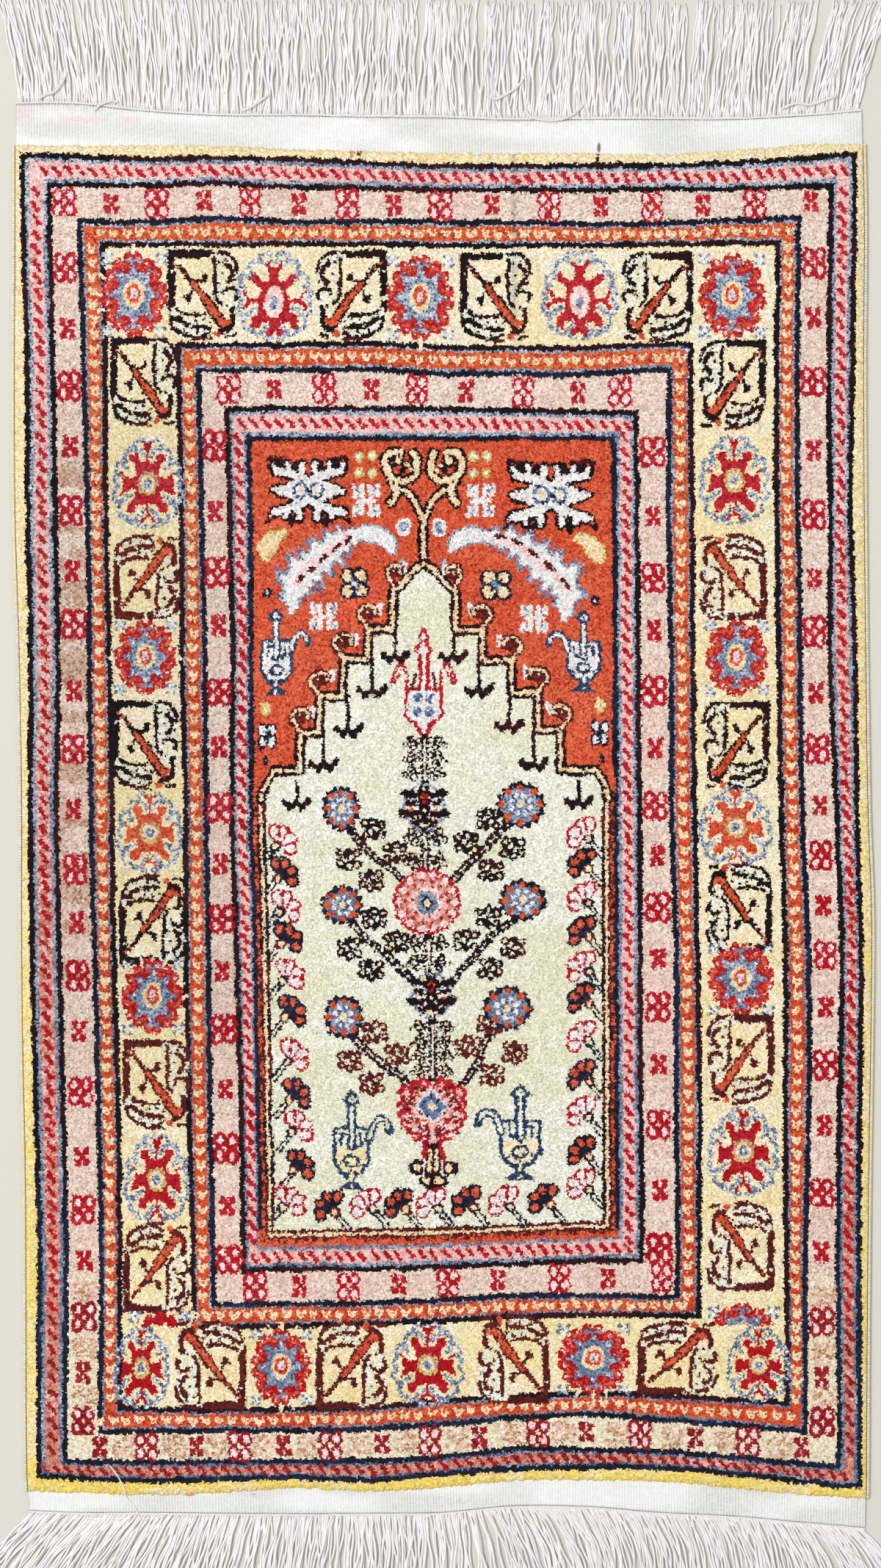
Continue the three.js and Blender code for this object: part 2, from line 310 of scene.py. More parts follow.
YARN_TONES = {
    # name, main, shade and drift tones, then the shares of streaks, patches and nearness
    "i": ("Ivory", (0.98, 0.98, 0.95), (0.85, 0.84, 0.72), (0.90, 0.88, 0.70), 0.32, 0.45, 0.0),
    "c": ("Cream", (1.00, 0.97, 0.90), (0.91, 0.81, 0.60), (0.98, 0.90, 0.63), 0.30, 0.50, 0.28),
    "f": ("Flower ground", (0.97, 0.92, 0.87), (0.78, 0.66, 0.56), (0.96, 0.80, 0.76), 0.60, 0.35, 0.20),
    "e": ("Ecru", (0.97, 0.94, 0.84), (0.84, 0.76, 0.60), (0.95, 0.84, 0.72), 0.25, 0.20, 0.0),
    "h": ("Browned ground", (0.86, 0.73, 0.63), (0.60, 0.42, 0.34), (0.93, 0.76, 0.70), 0.40, 0.30, 0.0),
    "g": ("Guard", (0.98, 0.93, 0.83), (0.92, 0.80, 0.50), (0.99, 0.87, 0.38), 0.16, 0.14, 0.46),
    "p": ("Pink", (0.98, 0.86, 0.84), (0.88, 0.58, 0.55), (0.90, 0.58, 0.52), 0.25, 0.12, 0.12),
    "a": ("Aged pink", (0.87, 0.56, 0.47), (0.66, 0.30, 0.26), (0.93, 0.70, 0.60), 0.40, 0.20, 0.0),
    "d": ("Dark red", (0.62, 0.09, 0.12), (0.42, 0.03, 0.06), (0.76, 0.24, 0.22), 0.35, 0.20, 0.0),
    "o": ("Orange", (0.90, 0.38, 0.19), (0.62, 0.14, 0.08), (0.96, 0.58, 0.34), 0.35, 0.25, -0.45),
    "s": ("Brick", (0.88, 0.34, 0.20), (0.66, 0.15, 0.09), (0.95, 0.52, 0.34), 0.35, 0.30, 0.0),
    "r": ("Crimson", (0.78, 0.11, 0.16), (0.54, 0.02, 0.08), (0.89, 0.34, 0.36), 0.35, 0.20, -0.45),
    "k": ("Brown black", (0.08, 0.04, 0.06), (0.03, 0.02, 0.03), (0.34, 0.09, 0.11), 0.20, 0.60, 0.0),
    "n": ("Navy", (0.07, 0.07, 0.12), (0.03, 0.03, 0.05), (0.18, 0.24, 0.42), 0.35, 0.40, 0.0),
    "b": ("Light blue", (0.84, 0.88, 0.93), (0.20, 0.26, 0.37), (0.42, 0.50, 0.61), 0.45, 0.30, 0.40),
    "u": ("Mid blue", (0.36, 0.46, 0.62), (0.14, 0.20, 0.36), (0.68, 0.77, 0.87), 0.40, 0.20, 0.0),
    "w": ("White", (0.98, 0.98, 0.97), (0.80, 0.81, 0.80), (0.99, 0.90, 0.89), 0.35, 0.20, 0.0),
    "y": ("Straw", (0.99, 0.93, 0.80), (0.88, 0.68, 0.46), (0.99, 0.86, 0.62), 0.30, 0.20, 0.0),
    "l": ("Olive", (0.86, 0.82, 0.44), (0.62, 0.56, 0.24), (0.94, 0.91, 0.64), 0.35, 0.20, 0.0),
    "t": ("Tan", (0.82, 0.64, 0.48), (0.60, 0.40, 0.28), (0.92, 0.76, 0.60), 0.40, 0.20, 0.0),
    "m": ("Maroon", (0.36, 0.09, 0.09), (0.18, 0.04, 0.05), (0.55, 0.20, 0.15), 0.30, 0.25, 0.0),
    "q": ("Blush", (0.99, 0.91, 0.90), (0.92, 0.66, 0.68), (0.99, 0.97, 0.94), 0.30, 0.20, 0.0),
    "x": ("Jug blue", (0.13, 0.24, 0.38), (0.06, 0.10, 0.18), (0.28, 0.40, 0.52), 0.35, 0.20, 0),
}
YARN = {key: number for number, key in enumerate(YARN_TONES)}  # its number on the chart
PLAIN_YARNS = {
    "Flat weave": (0.92, 0.925, 0.92),
    "Side cord": (1.0, 0.98, 0.91),
    "End cord": (0.95, 0.95, 0.94),
    "Fringe": (1.0, 0.985, 1.0),
    "Loose thread": (0.96, 0.95, 0.93),
}


def as_property(name):
    return name.lower().replace(" ", "_")


# Where the bands' dark lines run: places across at distances down, and places down across the rug

LINES_DOWN = (300, 500, 700, 900, 1100, 1300, 1500, 1700, 1900)
LEFT_LINES = (
    (31, 37, 38, 42, 41, 44, 49, 54, 53),
    (67, 72, 75, 79, 77, 81, 86, 90, 89),
    (108, 114, 119, 122, 124, 129, 134, 138, 137),
    (140, 143, 144, 149, 152, 155, 161, 163, 163),
    (241, 243, 247, 248, 253, 254, 257, 263, 267),
    (268, 270, 275, 279, 281, 284, 286, 290, 290),
    (307, 308, 313, 317, 316, 322, 328, 332, 333),
    (333, 334, 341, 342, 343, 348, 352, 356, 357),
)
RIGHT_LINES = (
    (1164, 1161, 1159, 1165, 1167, 1173, 1171, 1170, 1171),
    (1132, 1129, 1131, 1131, 1139, 1147, 1144, 1141, 1143),
    (1088, 1086, 1087, 1090, 1093, 1101, 1102, 1097, 1097),
    (1060, 1058, 1058, 1061, 1064, 1070, 1070, 1071, 1073),
    (941, 941, 943, 944, 946, 950, 953, 952, 953),
    (912, 912, 911, 914, 915, 921, 921, 923, 923),
    (866, 866, 868, 869, 871, 872, 873, 875, 876),
    (836, 836, 837, 838, 839, 839, 840, 840, 840),
)
LINES_ACROSS = (50, 100, 200, 300, 400, 500, 600, 700, 800, 900, 1000, 1100, 1140)
FAR_LINES = (
    (211, 213, 216, 215, 217, 222, 226, 226, 226, 225, 222, 215, 210),
    (252, 252, 253, 250, 255, 256, 258, 258, 259, 257, 257, 253, 251),
    (301, 301, 302, 297, 302, 301, 302, 303, 305, 304, 300, 296, 296),
    (334, 334, 333, 333, 332, 332, 334, 334, 334, 333, 331, 331, 331),
    (469, 469, 469, 470, 469, 468, 472, 474, 473, 470, 470, 470, 470),
    (504, 504, 504, 504, 504, 503, 508, 509, 509, 504, 504, 504, 504),
    (558, 558, 558, 557, 556, 556, 557, 559, 561, 563, 563, 563, 563),
    (597,) * 13,
)
NEAR_LINES = (
    (2010, 2012, 2016, 2014, 2012, 2015, 2007, 2000, 1998, 1998, 2006, 2018, 2023),
    (1990, 1990, 1991, 1990, 1990, 1989, 1984, 1973, 1974, 1976, 1984, 1994, 1997),
    (1950, 1950, 1949, 1948, 1948, 1946, 1940, 1931, 1926, 1933, 1941, 1950, 1952),
    (1918, 1918, 1919, 1920, 1919, 1917, 1908, 1901, 1897, 1900, 1906, 1912, 1912),
    (1806, 1806, 1806, 1806, 1805, 1802, 1799, 1793, 1790, 1791, 1793, 1793, 1793),
    (1776, 1776, 1776, 1776, 1775, 1774, 1770, 1764, 1764, 1765, 1765, 1765, 1765),
    (1731, 1731, 1731, 1731, 1728, 1728, 1725, 1721, 1717, 1716, 1716, 1716, 1716),
    (1696, 1696, 1696, 1696, 1694, 1692, 1690, 1686, 1682, 1681, 1681, 1681, 1681),
)
BAND_GROUNDS = "gpfocofps"  # outward from the rim: guard, pink, flowers, orange, main, and back again
DARK_WIDTH = 7.6
PINK_BLUE_WIDTH, ORANGE_BLUE_WIDTH = 4.6, 2.6
BLUE_LINE_GROWS = (12, 34)  # widths of band between which its blue lines grow to full width
ORANGE_LINES, NAVY_LINES, NEAR_NAVY_LINES = (3, 4, 5, 6), (3, 6, 8), (1, 2)
NAVY_FROM = 1600
BRICK_FROM = 1674  # the innermost dark line turns brick red along the near end
AGED_RED_FROM = 1790
AGEING = (("e", "f", 1690, 1850), ("a", "p", 400, 1960))  # outer bands turn: into, from, how far down
BROWNED = {"left_of": 200, "middle": 970, "reach": 370}
WHOLE_MARK_BAND = 26


BAND_LINES = {
    "left": (LINES_DOWN, LEFT_LINES),
    "right": (LINES_DOWN, RIGHT_LINES),
    "far": (LINES_ACROSS, FAR_LINES),
    "near": (LINES_ACROSS, NEAR_LINES),
}


def band_line(where, number, at):
    """Where a dark line runs on one side of the rug, at places along that side."""
    keys, lines = BAND_LINES[where]
    return through(keys, lines[number - 1], at)


def band_middle(where, number, at):
    """The middle of the band inside a dark line."""
    return (band_line(where, number, at) + band_line(where, number + 1, at)) / 2


def within_line(number, x, y):
    """How far inside a band's dark line each place lies; negative outside it."""
    across = np.minimum(x - band_line("left", number, y), band_line("right", number, y) - x)
    down = np.minimum(y - band_line("far", number, x), band_line("near", number, x) - y)
    return np.minimum(across, down)


def chart_places():
    """Each quarter-knot's place, across in a row and down in a column."""
    return np.arange(CHART_SIZE[0])[None, :], np.arange(CHART_SIZE[1])[:, None]


def lay_bands(chart):
    """The nested bands, each with its dark line, and a light-blue line on the narrow bands' side.
    Where a narrow band is pinched, its blue lines are thinner."""
    x, y = chart_places()
    for number in range(1, len(BAND_GROUNDS)):
        inside = within_line(number, x, y)
        narrow_band_inside = number % 2 == 1
        blue = inside if narrow_band_inside else -inside
        band = np.abs(inside - within_line(number + (1 if narrow_band_inside else -1), x, y))
        full = ORANGE_BLUE_WIDTH if number in ORANGE_LINES else PINK_BLUE_WIDTH
        reach = DARK_WIDTH / 2 + full * ramp(band, *BLUE_LINE_GROWS)
        chart[inside > 0] = YARN[BAND_GROUNDS[number]]
        chart[(blue > 0) & (blue < reach)] = YARN["b"]
        dark_line = np.abs(inside) < DARK_WIDTH / 2
        chart[dark_line] = YARN["n" if number in NAVY_LINES else "k"]
        if number == 8:
            chart[dark_line & (y > BRICK_FROM)] = YARN["s"]
        if number in NEAR_NAVY_LINES:
            chart[dark_line & (y > NAVY_FROM)] = YARN["n"]
    for aged, ground, first, full in AGEING:
        share = (y - first) / (full - first) + 0.5 * (drift(x, y, 40, 12, 27) - 0.5)
        aged_here = (chart == YARN[ground]) & (within_line(3, x, y) < 0)
        chart[aged_here & (share > scatter(x / 5, y / 4, 26))] = YARN[aged]
    browned = (x < BROWNED["left_of"]) & (np.abs(y - BROWNED["middle"]) < BROWNED["reach"])
    browned = browned & (drift(x, y, 60, 16, 28) + 0.3 * scatter(x / 5, y / 4, 29) > 0.62)
    chart[browned & (chart == YARN["f"])] = YARN["h"]


# The narrow bands' running marks


def step_mark(loom, yarn):
    loom.line(yarn, 6.6, (-3.8, -4), (-2, -2.6))
    loom.line(yarn, 4.6, (-2, -2), (2, 2))
    loom.line(yarn, 6.6, (2, 2.6), (3.8, 4.2))


def leaf_mark(loom, yarn):
    loom.line(yarn, 4.2, (-5, -4.5), (-3.2, 2), (0.6, 4))
    loom.line(yarn, 4.2, (4.2, -3), (3, 1))
    loom.dots(yarn, 3.4, (0, -2))


RUNNING_MARKS = (  # the band, its mark and yarn, and their spacing across and down
    (1, step_mark, "r", 16.4, 19.6), (3, leaf_mark, "y", 18, 19.5),
    (5, leaf_mark, "y", 18, 19.5), (7, step_mark, "r", 16.2, 19.4),
)


def run_marks(loom, number, mark, yarn, pitch_across, pitch_down):
    """One kind of mark all along the band inside a dark line."""
    left, right = (band_middle(where, number, 1000) for where in ("left", "right"))
    far, near = (band_middle(where, number, 600) for where in ("far", "near"))
    for where in ("far", "near"):
        for x in np.linspace(left, right, round((right - left) / pitch_across) + 1):
            y = band_middle(where, number, x)
            band = abs(band_line(where, number, x) - band_line(where, number + 1, x))
            pinched = min(1, band / WHOLE_MARK_BAND)
            place = loom.at(*unsettled(x, y, 1.2), uneven(x, y, 0.14) * math.sqrt(pinched), pinched)
            mark(place, aged_red(yarn, y))
    for where in ("left", "right"):
        for y in np.linspace(far, near, round((near - far) / pitch_down) + 1)[1:-1]:
            x = band_middle(where, number, y)
            place = loom.at(*unsettled(x, y, 1.2), 0.95, uneven(x, y, 0.14) * 1.15)
            mark(place, aged_red(yarn, y))


def aged_red(yarn, y):
    return "d" if yarn == "r" and y > AGED_RED_FROM else yarn


def unsettled(x, y, most):
    """A place moved a little, as a weaver's count slips."""
    return x + most * (2 * scatter(x, y, 11) - 1), y + most * (2 * scatter(x, y, 12) - 1)


def uneven(x, y, most):
    return 1 + most * (2 * scatter(x, y, 13) - 1)


# The small-flower bands

FLOWERS = {  # band: places of the flowers, a large one and a small one in turn, from the first
    (2, "far"): (87, 153, 213, 278, 341, 406, 473, 537, 599, 670, 747, 818, 887, 957, 1028, 1104),
    (2, "left"): (365, 448, 525, 608, 695, 777, 851, 941, 1020, 1103, 1185, 1257, 1330, 1405, 1487, 1575,
                  1647, 1717, 1793, 1870, 1935),
    (2, "right"): (358, 433, 520, 612, 700, 788, 860, 943, 1020, 1098, 1165, 1233, 1300, 1372, 1450, 1533,
                   1625, 1705, 1800, 1875, 1937),
    (2, "near"): (200, 268, 326, 387, 450, 520, 585, 653, 733, 798, 872, 948, 1018, 1092),
    (6, "far"): (312, 373, 442, 505, 568, 635, 712, 787, 845),
    (6, "left"): (607, 697, 778, 853, 943, 1019, 1100, 1177, 1252, 1323, 1402, 1483, 1565, 1643, 1715),
    (6, "right"): (616, 703, 788, 858, 942, 1019, 1098, 1165, 1235, 1305, 1372, 1450, 1532, 1620, 1700),
    (6, "near"): (347, 408, 475, 543, 610, 678, 762, 828, 902),
}
HATCHED_FROM = 1780
HATCH_BESIDE = -33
CORNER_FLOWER = (136, 1971)


def ringed_flower(loom, red, thick):
    """Four ringed petals in a square."""
    for dx, dy in corners(8, 10, 9.6):
        loom.disc("q", dx, dy, 6.5, 8)
        loom.ring(red, thick, dx, dy, 6.5, 8.6)


def block_flower(loom, red, thick):
    """Four solid petals, a slip of pink between them."""
    for dx, dy in corners(5.6, 8.5, 8):
        loom.shape(red, (dx - 5, dy - 5), (dx + 4.4, dy - 6), (dx + 4.8, dy + 5.4), (dx - 4.4, dy + 6))
    loom.line("q", 2.4, (-0.6, -13), (1, -4))
    loom.line("q", 2.4, (0, 5), (0.6, 12))
    loom.line(red, thick, (-3, -3), (3, 3))
    loom.line(red, thick - 0.6, (3, -3), (-3, 3))


def lay_flowers(loom):
    for (number, where), places in FLOWERS.items():
        hatched = HATCHED_FROM if number == 2 and where != "far" else CHART_SIZE[1]
        at_an_end = where in ("far", "near")
        for turn, along in enumerate(places):
            middle = band_middle(where, number, along)
            x, y = (along, middle) if at_an_end else (middle, along)
            if y > hatched:
                across, down = (HATCH_BESIDE, 0) if where == "near" else (0, HATCH_BESIDE)
                tan_hatch(loom, x + across, y + down)
            flower = block_flower if turn % 2 else ringed_flower
            place = loom.at(*unsettled(x, y, 0.8), uneven(x, y, 0.06), uneven(y, x, 0.06))
            flower(place, aged_red("r", y), 4.2 if at_an_end else 5.6)
    block_flower(loom.at(*CORNER_FLOWER), "d", 5)


def tan_hatch(loom, x, y):
    """A patch of short brown and pink strokes between two flowers."""
    for row in range(-3, 4):
        for step in range(-3, 4):
            if scatter(x + step, y + row, 21) < 0.62:
                yarn = "t" if scatter(x + step, y + row, 22) < 0.7 else "p"
                start = x + 4.6 * step + 3 * scatter(row, step, 23)
                loom.line(yarn, 3.4, (start, y + 4.4 * row), (start + 3, y + 4.4 * row))


# The main border


def rosette(loom):
    """A round flower: eight notched red lobes, blue spokes between them, and a ringed eye."""
    loom.disc("b", 0, 0, 30, 39)

    def out(turn, reach):
        return 45 * reach * math.sin(turn), -58 * reach * math.cos(turn)

    for turn in turns(8):
        middle = turn + math.tau / 16
        for way in (-0.24, 0.24):
            loom.disc("r", *out(middle + way, 0.83), 9, 11)
        loom.disc("r", *out(middle, 0.66), 7, 8)
        loom.line("s", 5.4, out(middle - 0.3, 0.88), out(middle - 0.06, 0.8))
        loom.line("s", 4.6, out(middle + 0.1, 0.7), out(middle + 0.28, 0.86))
        loom.dots("o", 4, out(middle - 0.1, 0.66), out(middle + 0.24, 0.98))
        loom.line("c", 4, out(middle, 0.94), out(middle + 0.05, 1.14))
        loom.dots("q", 3.8, out(middle - 0.16, 0.9), out(middle + 0.14, 0.84))
    for turn in turns(8):
        loom.line("b", 5.6, out(turn, 0.45), out(turn, 0.74))
        loom.dots("u", 4, out(turn + 0.04, 0.72), out(turn - 0.12, 0.46))
        loom.dots("w", 3.6, out(turn + 0.06, 0.6))
        loom.line("c", 5, out(turn, 0.98), out(turn, 1.16))
    loom.line("b", 5, (-9, -46), (9, -46))
    loom.line("b", 5, (-8, 44), (8, 44))
    loom.disc("y", 0, -1, 14.5, 20)
    loom.disc("o", 0, -2, 9.6, 14)
    loom.disc("q", 0, -2, 5, 8)
    loom.dots("r", 3, (-6, -10), (6, 6))
    loom.dots("u", 3, (0, -4), (1, 1))


def curls(pair):
    """Light-blue curls all round a star, dotted darker."""
    for curl in (
        ((4, -56), (12, -59), (19, -54), (17, -45)),
        ((18, -46), (26, -47), (33, -41), (32, -33)),
        ((34, -31), (43, -28), (46, -18), (40, -13)),
        ((44, -12), (49, -4), (45, 4)),
        ((46, 6), (50, 16), (46, 25), (38, 25)),
        ((40, 28), (42, 38), (37, 46), (30, 45)),
        ((30, 49), (22, 53), (15, 47)),
        ((16, 50), (12, 57), (5, 58)),
        ((5, -36), (9, -44), (14, -46)),
        ((28, -20), (34, -24), (31, -29)),
        ((24, 17), (31, 20), (34, 26)),
        ((5, 36), (9, 42), (13, 46)),
    ):
        pair.curve("b", 5.6, *curl)
        line = bend(curl, 4)
        pair.dots("u", 2.8, *line[::3])
        pair.dots("w", 2.8, *line[1::3])


def crab_star(loom, red):
    """An eight-armed star round a tall pink eye, between light-blue curls."""
    pair = loom.mirrored()
    curls(pair)
    loom.line("b", 2.6, (-5, -50), (-1, -46), (5, -49))
    pair.shape(red, (0, -40), (6, -41), (9, -47), (13, -46), (11, -39), (7, -33), (6, -25), (10, -17),
               (0, -14))
    pair.shape(red, (6, -18), (17, -21), (23, -30), (30, -30), (31, -23), (23, -12), (13, -4))
    pair.shape(red, (10, 26), (22, 22), (30, 29), (33, 43), (23, 45), (19, 36), (10, 37))
    pair.shape(red, (0, 33), (8, 34), (7, 44), (13, 49), (11, 54), (4, 55), (0, 49))
    pair.line(red, 6, (20, 7), (35, 7))
    pair.line(red, 4.6, (35, 5), (42, -7))
    pair.line(red, 6.4, (36, 9), (42, 15))
    pair.dots(red, 4, (41, 19))
    loom.nest(0, 9, (red, 22, 28), ("y", 13.5, 22), ("q", 11.5, 20))
    loom.disc("b", 0, 10, 5, 9)
    loom.dots("u", 3, (1, 4), (-1, 10), (2, 15))


def broad_star(loom, red):
    """A horned star round a small eye ringed in tan, its crown and foot on thin stalks, in curls."""
    pair = loom.mirrored()
    curls(pair)
    pair.shape(
        red, (0, -28), (9, -28), (12, -31), (12, -39), (20, -41), (26, -38), (26, -30), (19, -25), (17, -10),
        (24, -7), (35, -9), (37, -2), (37, 8), (41, 17), (33, 15), (26, 10), (18, 9), (20, 22), (28, 27),
        (31, 36), (27, 42), (18, 40), (15, 32), (8, 30), (0, 28),
    )
    pair.line(red, 3.2, (33, -11), (39, -16))
    pair.shape(red, (0, -40), (3, -44), (6, -50), (10, -58), (3, -56), (0, -52))
    pair.line(red, 4.4, (0, 43), (6, 47), (10, 53))
    loom.line(red, 3.8, (0, -28), (0, -42))
    loom.line(red, 3.8, (0, 28), (0, 44))
    loom.disc("l", 0, 0, 15.5, 16.5)
    loom.disc("t", 0, -1, 14, 14)
    loom.nest(0, 0, ("y", 11, 12), ("b", 6, 7))
    loom.dots("u", 3.2, (-1, -3), (3, 2), (-3, 3))
    loom.dots("w", 3, (5, -7), (-7, 4), (0, 0))


def leaf_tile(loom, dark):
    """A square leaf: a dark bar on two sides, two rows of dark-veined white leaflets on the others,
    and a red stem from corner to corner."""
    loom.shape(dark, (-47, -59), (12, -59), (12, -49), (-35, -48), (-36, -40), (-37, 36), (-42, 41),
               (-47, 20))
    loom.line(dark, 5.6, (10, -56), (26, -55))
    for stroke in (
        ((14, -49), (25, -52), (27, -34), (25, -12), (27, 8)), ((31, -50), (41, -44), (46, -28), (40, -8)),
        ((37, 2), (42, 6), (40, 14), (31, 21)),
        ((-38, 24), (-30, 36), (-10, 39), (8, 33)), ((-32, 44), (-20, 52), (-4, 54), (10, 47)),
    ):
        loom.curve("i", 8, *stroke)
    for wide, stroke in (
        (5.4, ((18, -49), (18, -20), (20, 6), (26, 14))), (7, ((33, -40), (40, -35), (41, -24), (35, -14))),
        (5.6, ((24, -56), (36, -54), (46, -44), (49, -30))), (6.2, ((32, -5), (42, -6), (48, 0), (46, 8))),
        (5.4, ((-34, 22), (-28, 26), (-12, 29), (4, 28))), (7.4, ((-35, 33), (-20, 42), (-6, 45), (10, 46))),
        (5.6, ((-42, 36), (-38, 46), (-28, 54), (-14, 58))), (4.4, ((-6, 58), (4, 57), (12, 52))),
    ):
        loom.curve(dark, wide, *stroke)
    loom.dots(dark, 4.4, (24, -43), (28, -28), (23, -14), (29, 0), (-28, 33), (-9, 36), (-22, 50), (-6, 52),
              (12, 38), (34, -46), (45, -18), (34, 16), (2, 34))
    loom.dots("i", 3.8, (-41, -30), (42, -52), (14, -53), (-41, 28), (38, -26), (-14, 44))
    loom.line("m", 4.2, (-12, 61), (12, 61))
    loom.dots("s", 4.4, (-38, -41))
    loom.line(dark, 6.6, (-32, -38), (-12, -14))
    loom.dots("s", 3.6, (-31, -36), (-23, -26), (-15, -16))
    loom.line(dark, 11, (-12, -15), (4, 6))
    loom.line(dark, 15, (4, 6), (28, 40))
    loom.line("s", 5.8, (-11, -13), (4, 6))
    loom.line("s", 8.6, (4, 7), (28, 38))
    loom.dots("m", 3.4, (-4, -4), (5, 9), (13, 16), (17, 27), (25, 32))
    loom.curve(dark, 7.4, (41, 20), (42, 32), (38, 46), (24, 51))
    loom.line("s", 7.4, (30, 41), (36, 37))
    loom.disc("s", 22, 55, 5, 5)
    loom.line(dark, 5, (34, 58), (46, 56))
    loom.line(dark, 3.6, (-8, -17), (4, -17))
    loom.shape(dark, (2, -29), (9, -27), (7, -17), (0, -16), (0, -23))
    loom.line(dark, 3.6, (-13, -4), (-16, 4))
    loom.shape(dark, (-26, 3), (-13, 2), (-14, 12), (-20, 14))


def sprig(loom):
    """A small four-petalled flower in light blue."""
    loom.dots("w", 9, (0, 0))
    loom.dots("b", 6, (-5, -5), (5.5, -4.5), (-5.5, 5), (5, 6))
    loom.dots("u", 2.6, (-5, -5), (6, -4), (-6, 5), (5, 7), (0, 0))


def ringed_rosette(loom):
    rosette(loom)
    for dx, dy in corners(38, 50):
        sprig(loom.at(dx, dy))


def half_rosette(loom):
    """The far half of a rosette, where the border ran out of room."""
    rosette(loom.at(0, 8, high=0.62))
    loom.shape("c", (-50, 1), (50, 1), (50, 46), (-50, 46))
    for dx in (-40, 42):
        sprig(loom.at(dx, -18))


def half_star(loom):
    """A star's crown between two curls."""
    pair = loom.mirrored()
    pair.shape("r", (0, -12), (6, -10), (10, -4), (18, -8), (22, 2), (28, 10), (14, 10), (8, 5), (0, 9))
    for dx in (-34, 34):
        sprig(loom.at(dx, -4))


MAIN_BORDER = (  # motif, its place across and down, and how it is stretched or flipped
    ("rosette", 183, 401, 0.98, 1), ("tile", 274, 400), ("star", 374, 402), ("tile", 480, 400, -1),
    ("rosette", 573, 405), ("tile", 673, 402), ("star", 790, 402), ("tile", 897, 402, -1),
    ("rosette", 998, 403),
    ("tile", 193, 519), ("broad", 201, 657), ("brown", 198, 787, 1, -0.95),
    ("rosette", 199, 895, 1, 0.86), ("tile", 196, 1013), ("orange", 203, 1134, 0.95, 0.9),
    ("tile", 205, 1254, 1, -1), ("rosette", 208, 1358, 1, 0.88), ("brown", 211, 1475),
    ("broad", 214, 1605, 0.92, 1), ("brown", 212, 1727, 1, -1),
    ("tile", 1000, 521, -1), ("broad", 1000, 655), ("brown", 1000, 788, -1, -0.97),
    ("rosette", 1003, 896, 1, 0.88), ("tile", 1006, 1014, -1), ("orange", 1002, 1126, 1.04, 0.88),
    ("tile", 1009, 1238, -1, -1), ("rosette", 1010, 1333, 1.06, 0.84), ("brown", 1010, 1440, -1),
    ("broad", 1012, 1567), ("brown", 1011, 1699, -1, -1),
    ("half star", 217, 1797), ("half rosette", 1012, 1803),
    ("broad", 193, 1864, 0.74, 0.92), ("brown", 288, 1861, -1, -1),
    ("rosette", 383, 1862, 0.9, 0.9), ("brown", 477, 1860, 1, -1), ("broad", 583, 1859, 0.95, 0.92),
    ("brown", 702, 1853, -1, -1), ("rosette", 808, 1850, 1.08, 0.82),
    ("brown", 921, 1849, 1.14, -0.8), ("broad", 1034, 1858, 0.84, 0.84),
)

SIDE_MOTIFS = {"far": 470, "near": 1780, "wide": 0.93}
MOTIFS = {  # each one's drawing, and the yarn it is drawn with
    "rosette": (ringed_rosette,),
    "half rosette": (half_rosette,),
    "half star": (half_star,),
    "star": (crab_star, "r"),
    "broad": (broad_star, "r"),
    "orange": (broad_star, "s"),
    "tile": (leaf_tile, "k"),
    "brown": (leaf_tile, "m"),
}


def lay_main_border(loom):
    for motif, x, y, *stretch in MAIN_BORDER:
        wide, high = (*stretch, 1, 1)[:2]
        if SIDE_MOTIFS["far"] < y < SIDE_MOTIFS["near"]:
            wide *= SIDE_MOTIFS["wide"]
        draw, *yarn = MOTIFS[motif]
        draw(loom.at(*unsettled(x, y, 1), wide, high), *yarn)


# The field: an arched niche under its spandrels, ringed below by a striped frame

FRAME_STRIPES = (("s", 2.4), ("k", 7.2), ("y", 10.6), ("k", 14.6), ("i", 19.2))  # from how far inside
ARCH_FOOT = 1066  # where the arch runs out into the frame
BROWN_FRAME_FROM = 1650
LEFT_ARCH = (
    (577, 767), (566, 774), (557, 784), (549, 794), (535, 804), (535, 857), (501, 857), (501, 897),
    (467, 897), (467, 948), (435, 948), (435, 998), (409, 998), (409, 1050), (373, 1050), (361, 1072),
    (355, 1090),
)
RIGHT_ARCH = (
    (577, 767), (588, 772), (597, 782), (607, 794), (621, 806), (621, 858), (657, 858), (657, 900),
    (697, 900), (697, 943), (733, 943), (733, 993), (764, 993), (764, 1049), (813, 1049), (823, 1066),
    (830, 1088),
)
HOOKS = (  # a step's outer corner, and which way its curl turns
    (538, 801, -0.8), *((x, y, -1) for x, y in LEFT_ARCH[6:13:2]),
    (618, 803, 0.8), *((x, y, 1) for x, y in RIGHT_ARCH[6:13:2]),
)
PENDANTS = (  # dark bars that hang inside the steps: place across, top and foot
    (539, 860, 894), (507, 900, 941), (474, 948, 994), (441, 998, 1042), (404, 1066, 1094),
    (618, 862, 894), (652, 900, 940), (693, 943, 988), (727, 993, 1040), (788, 1064, 1092),
)


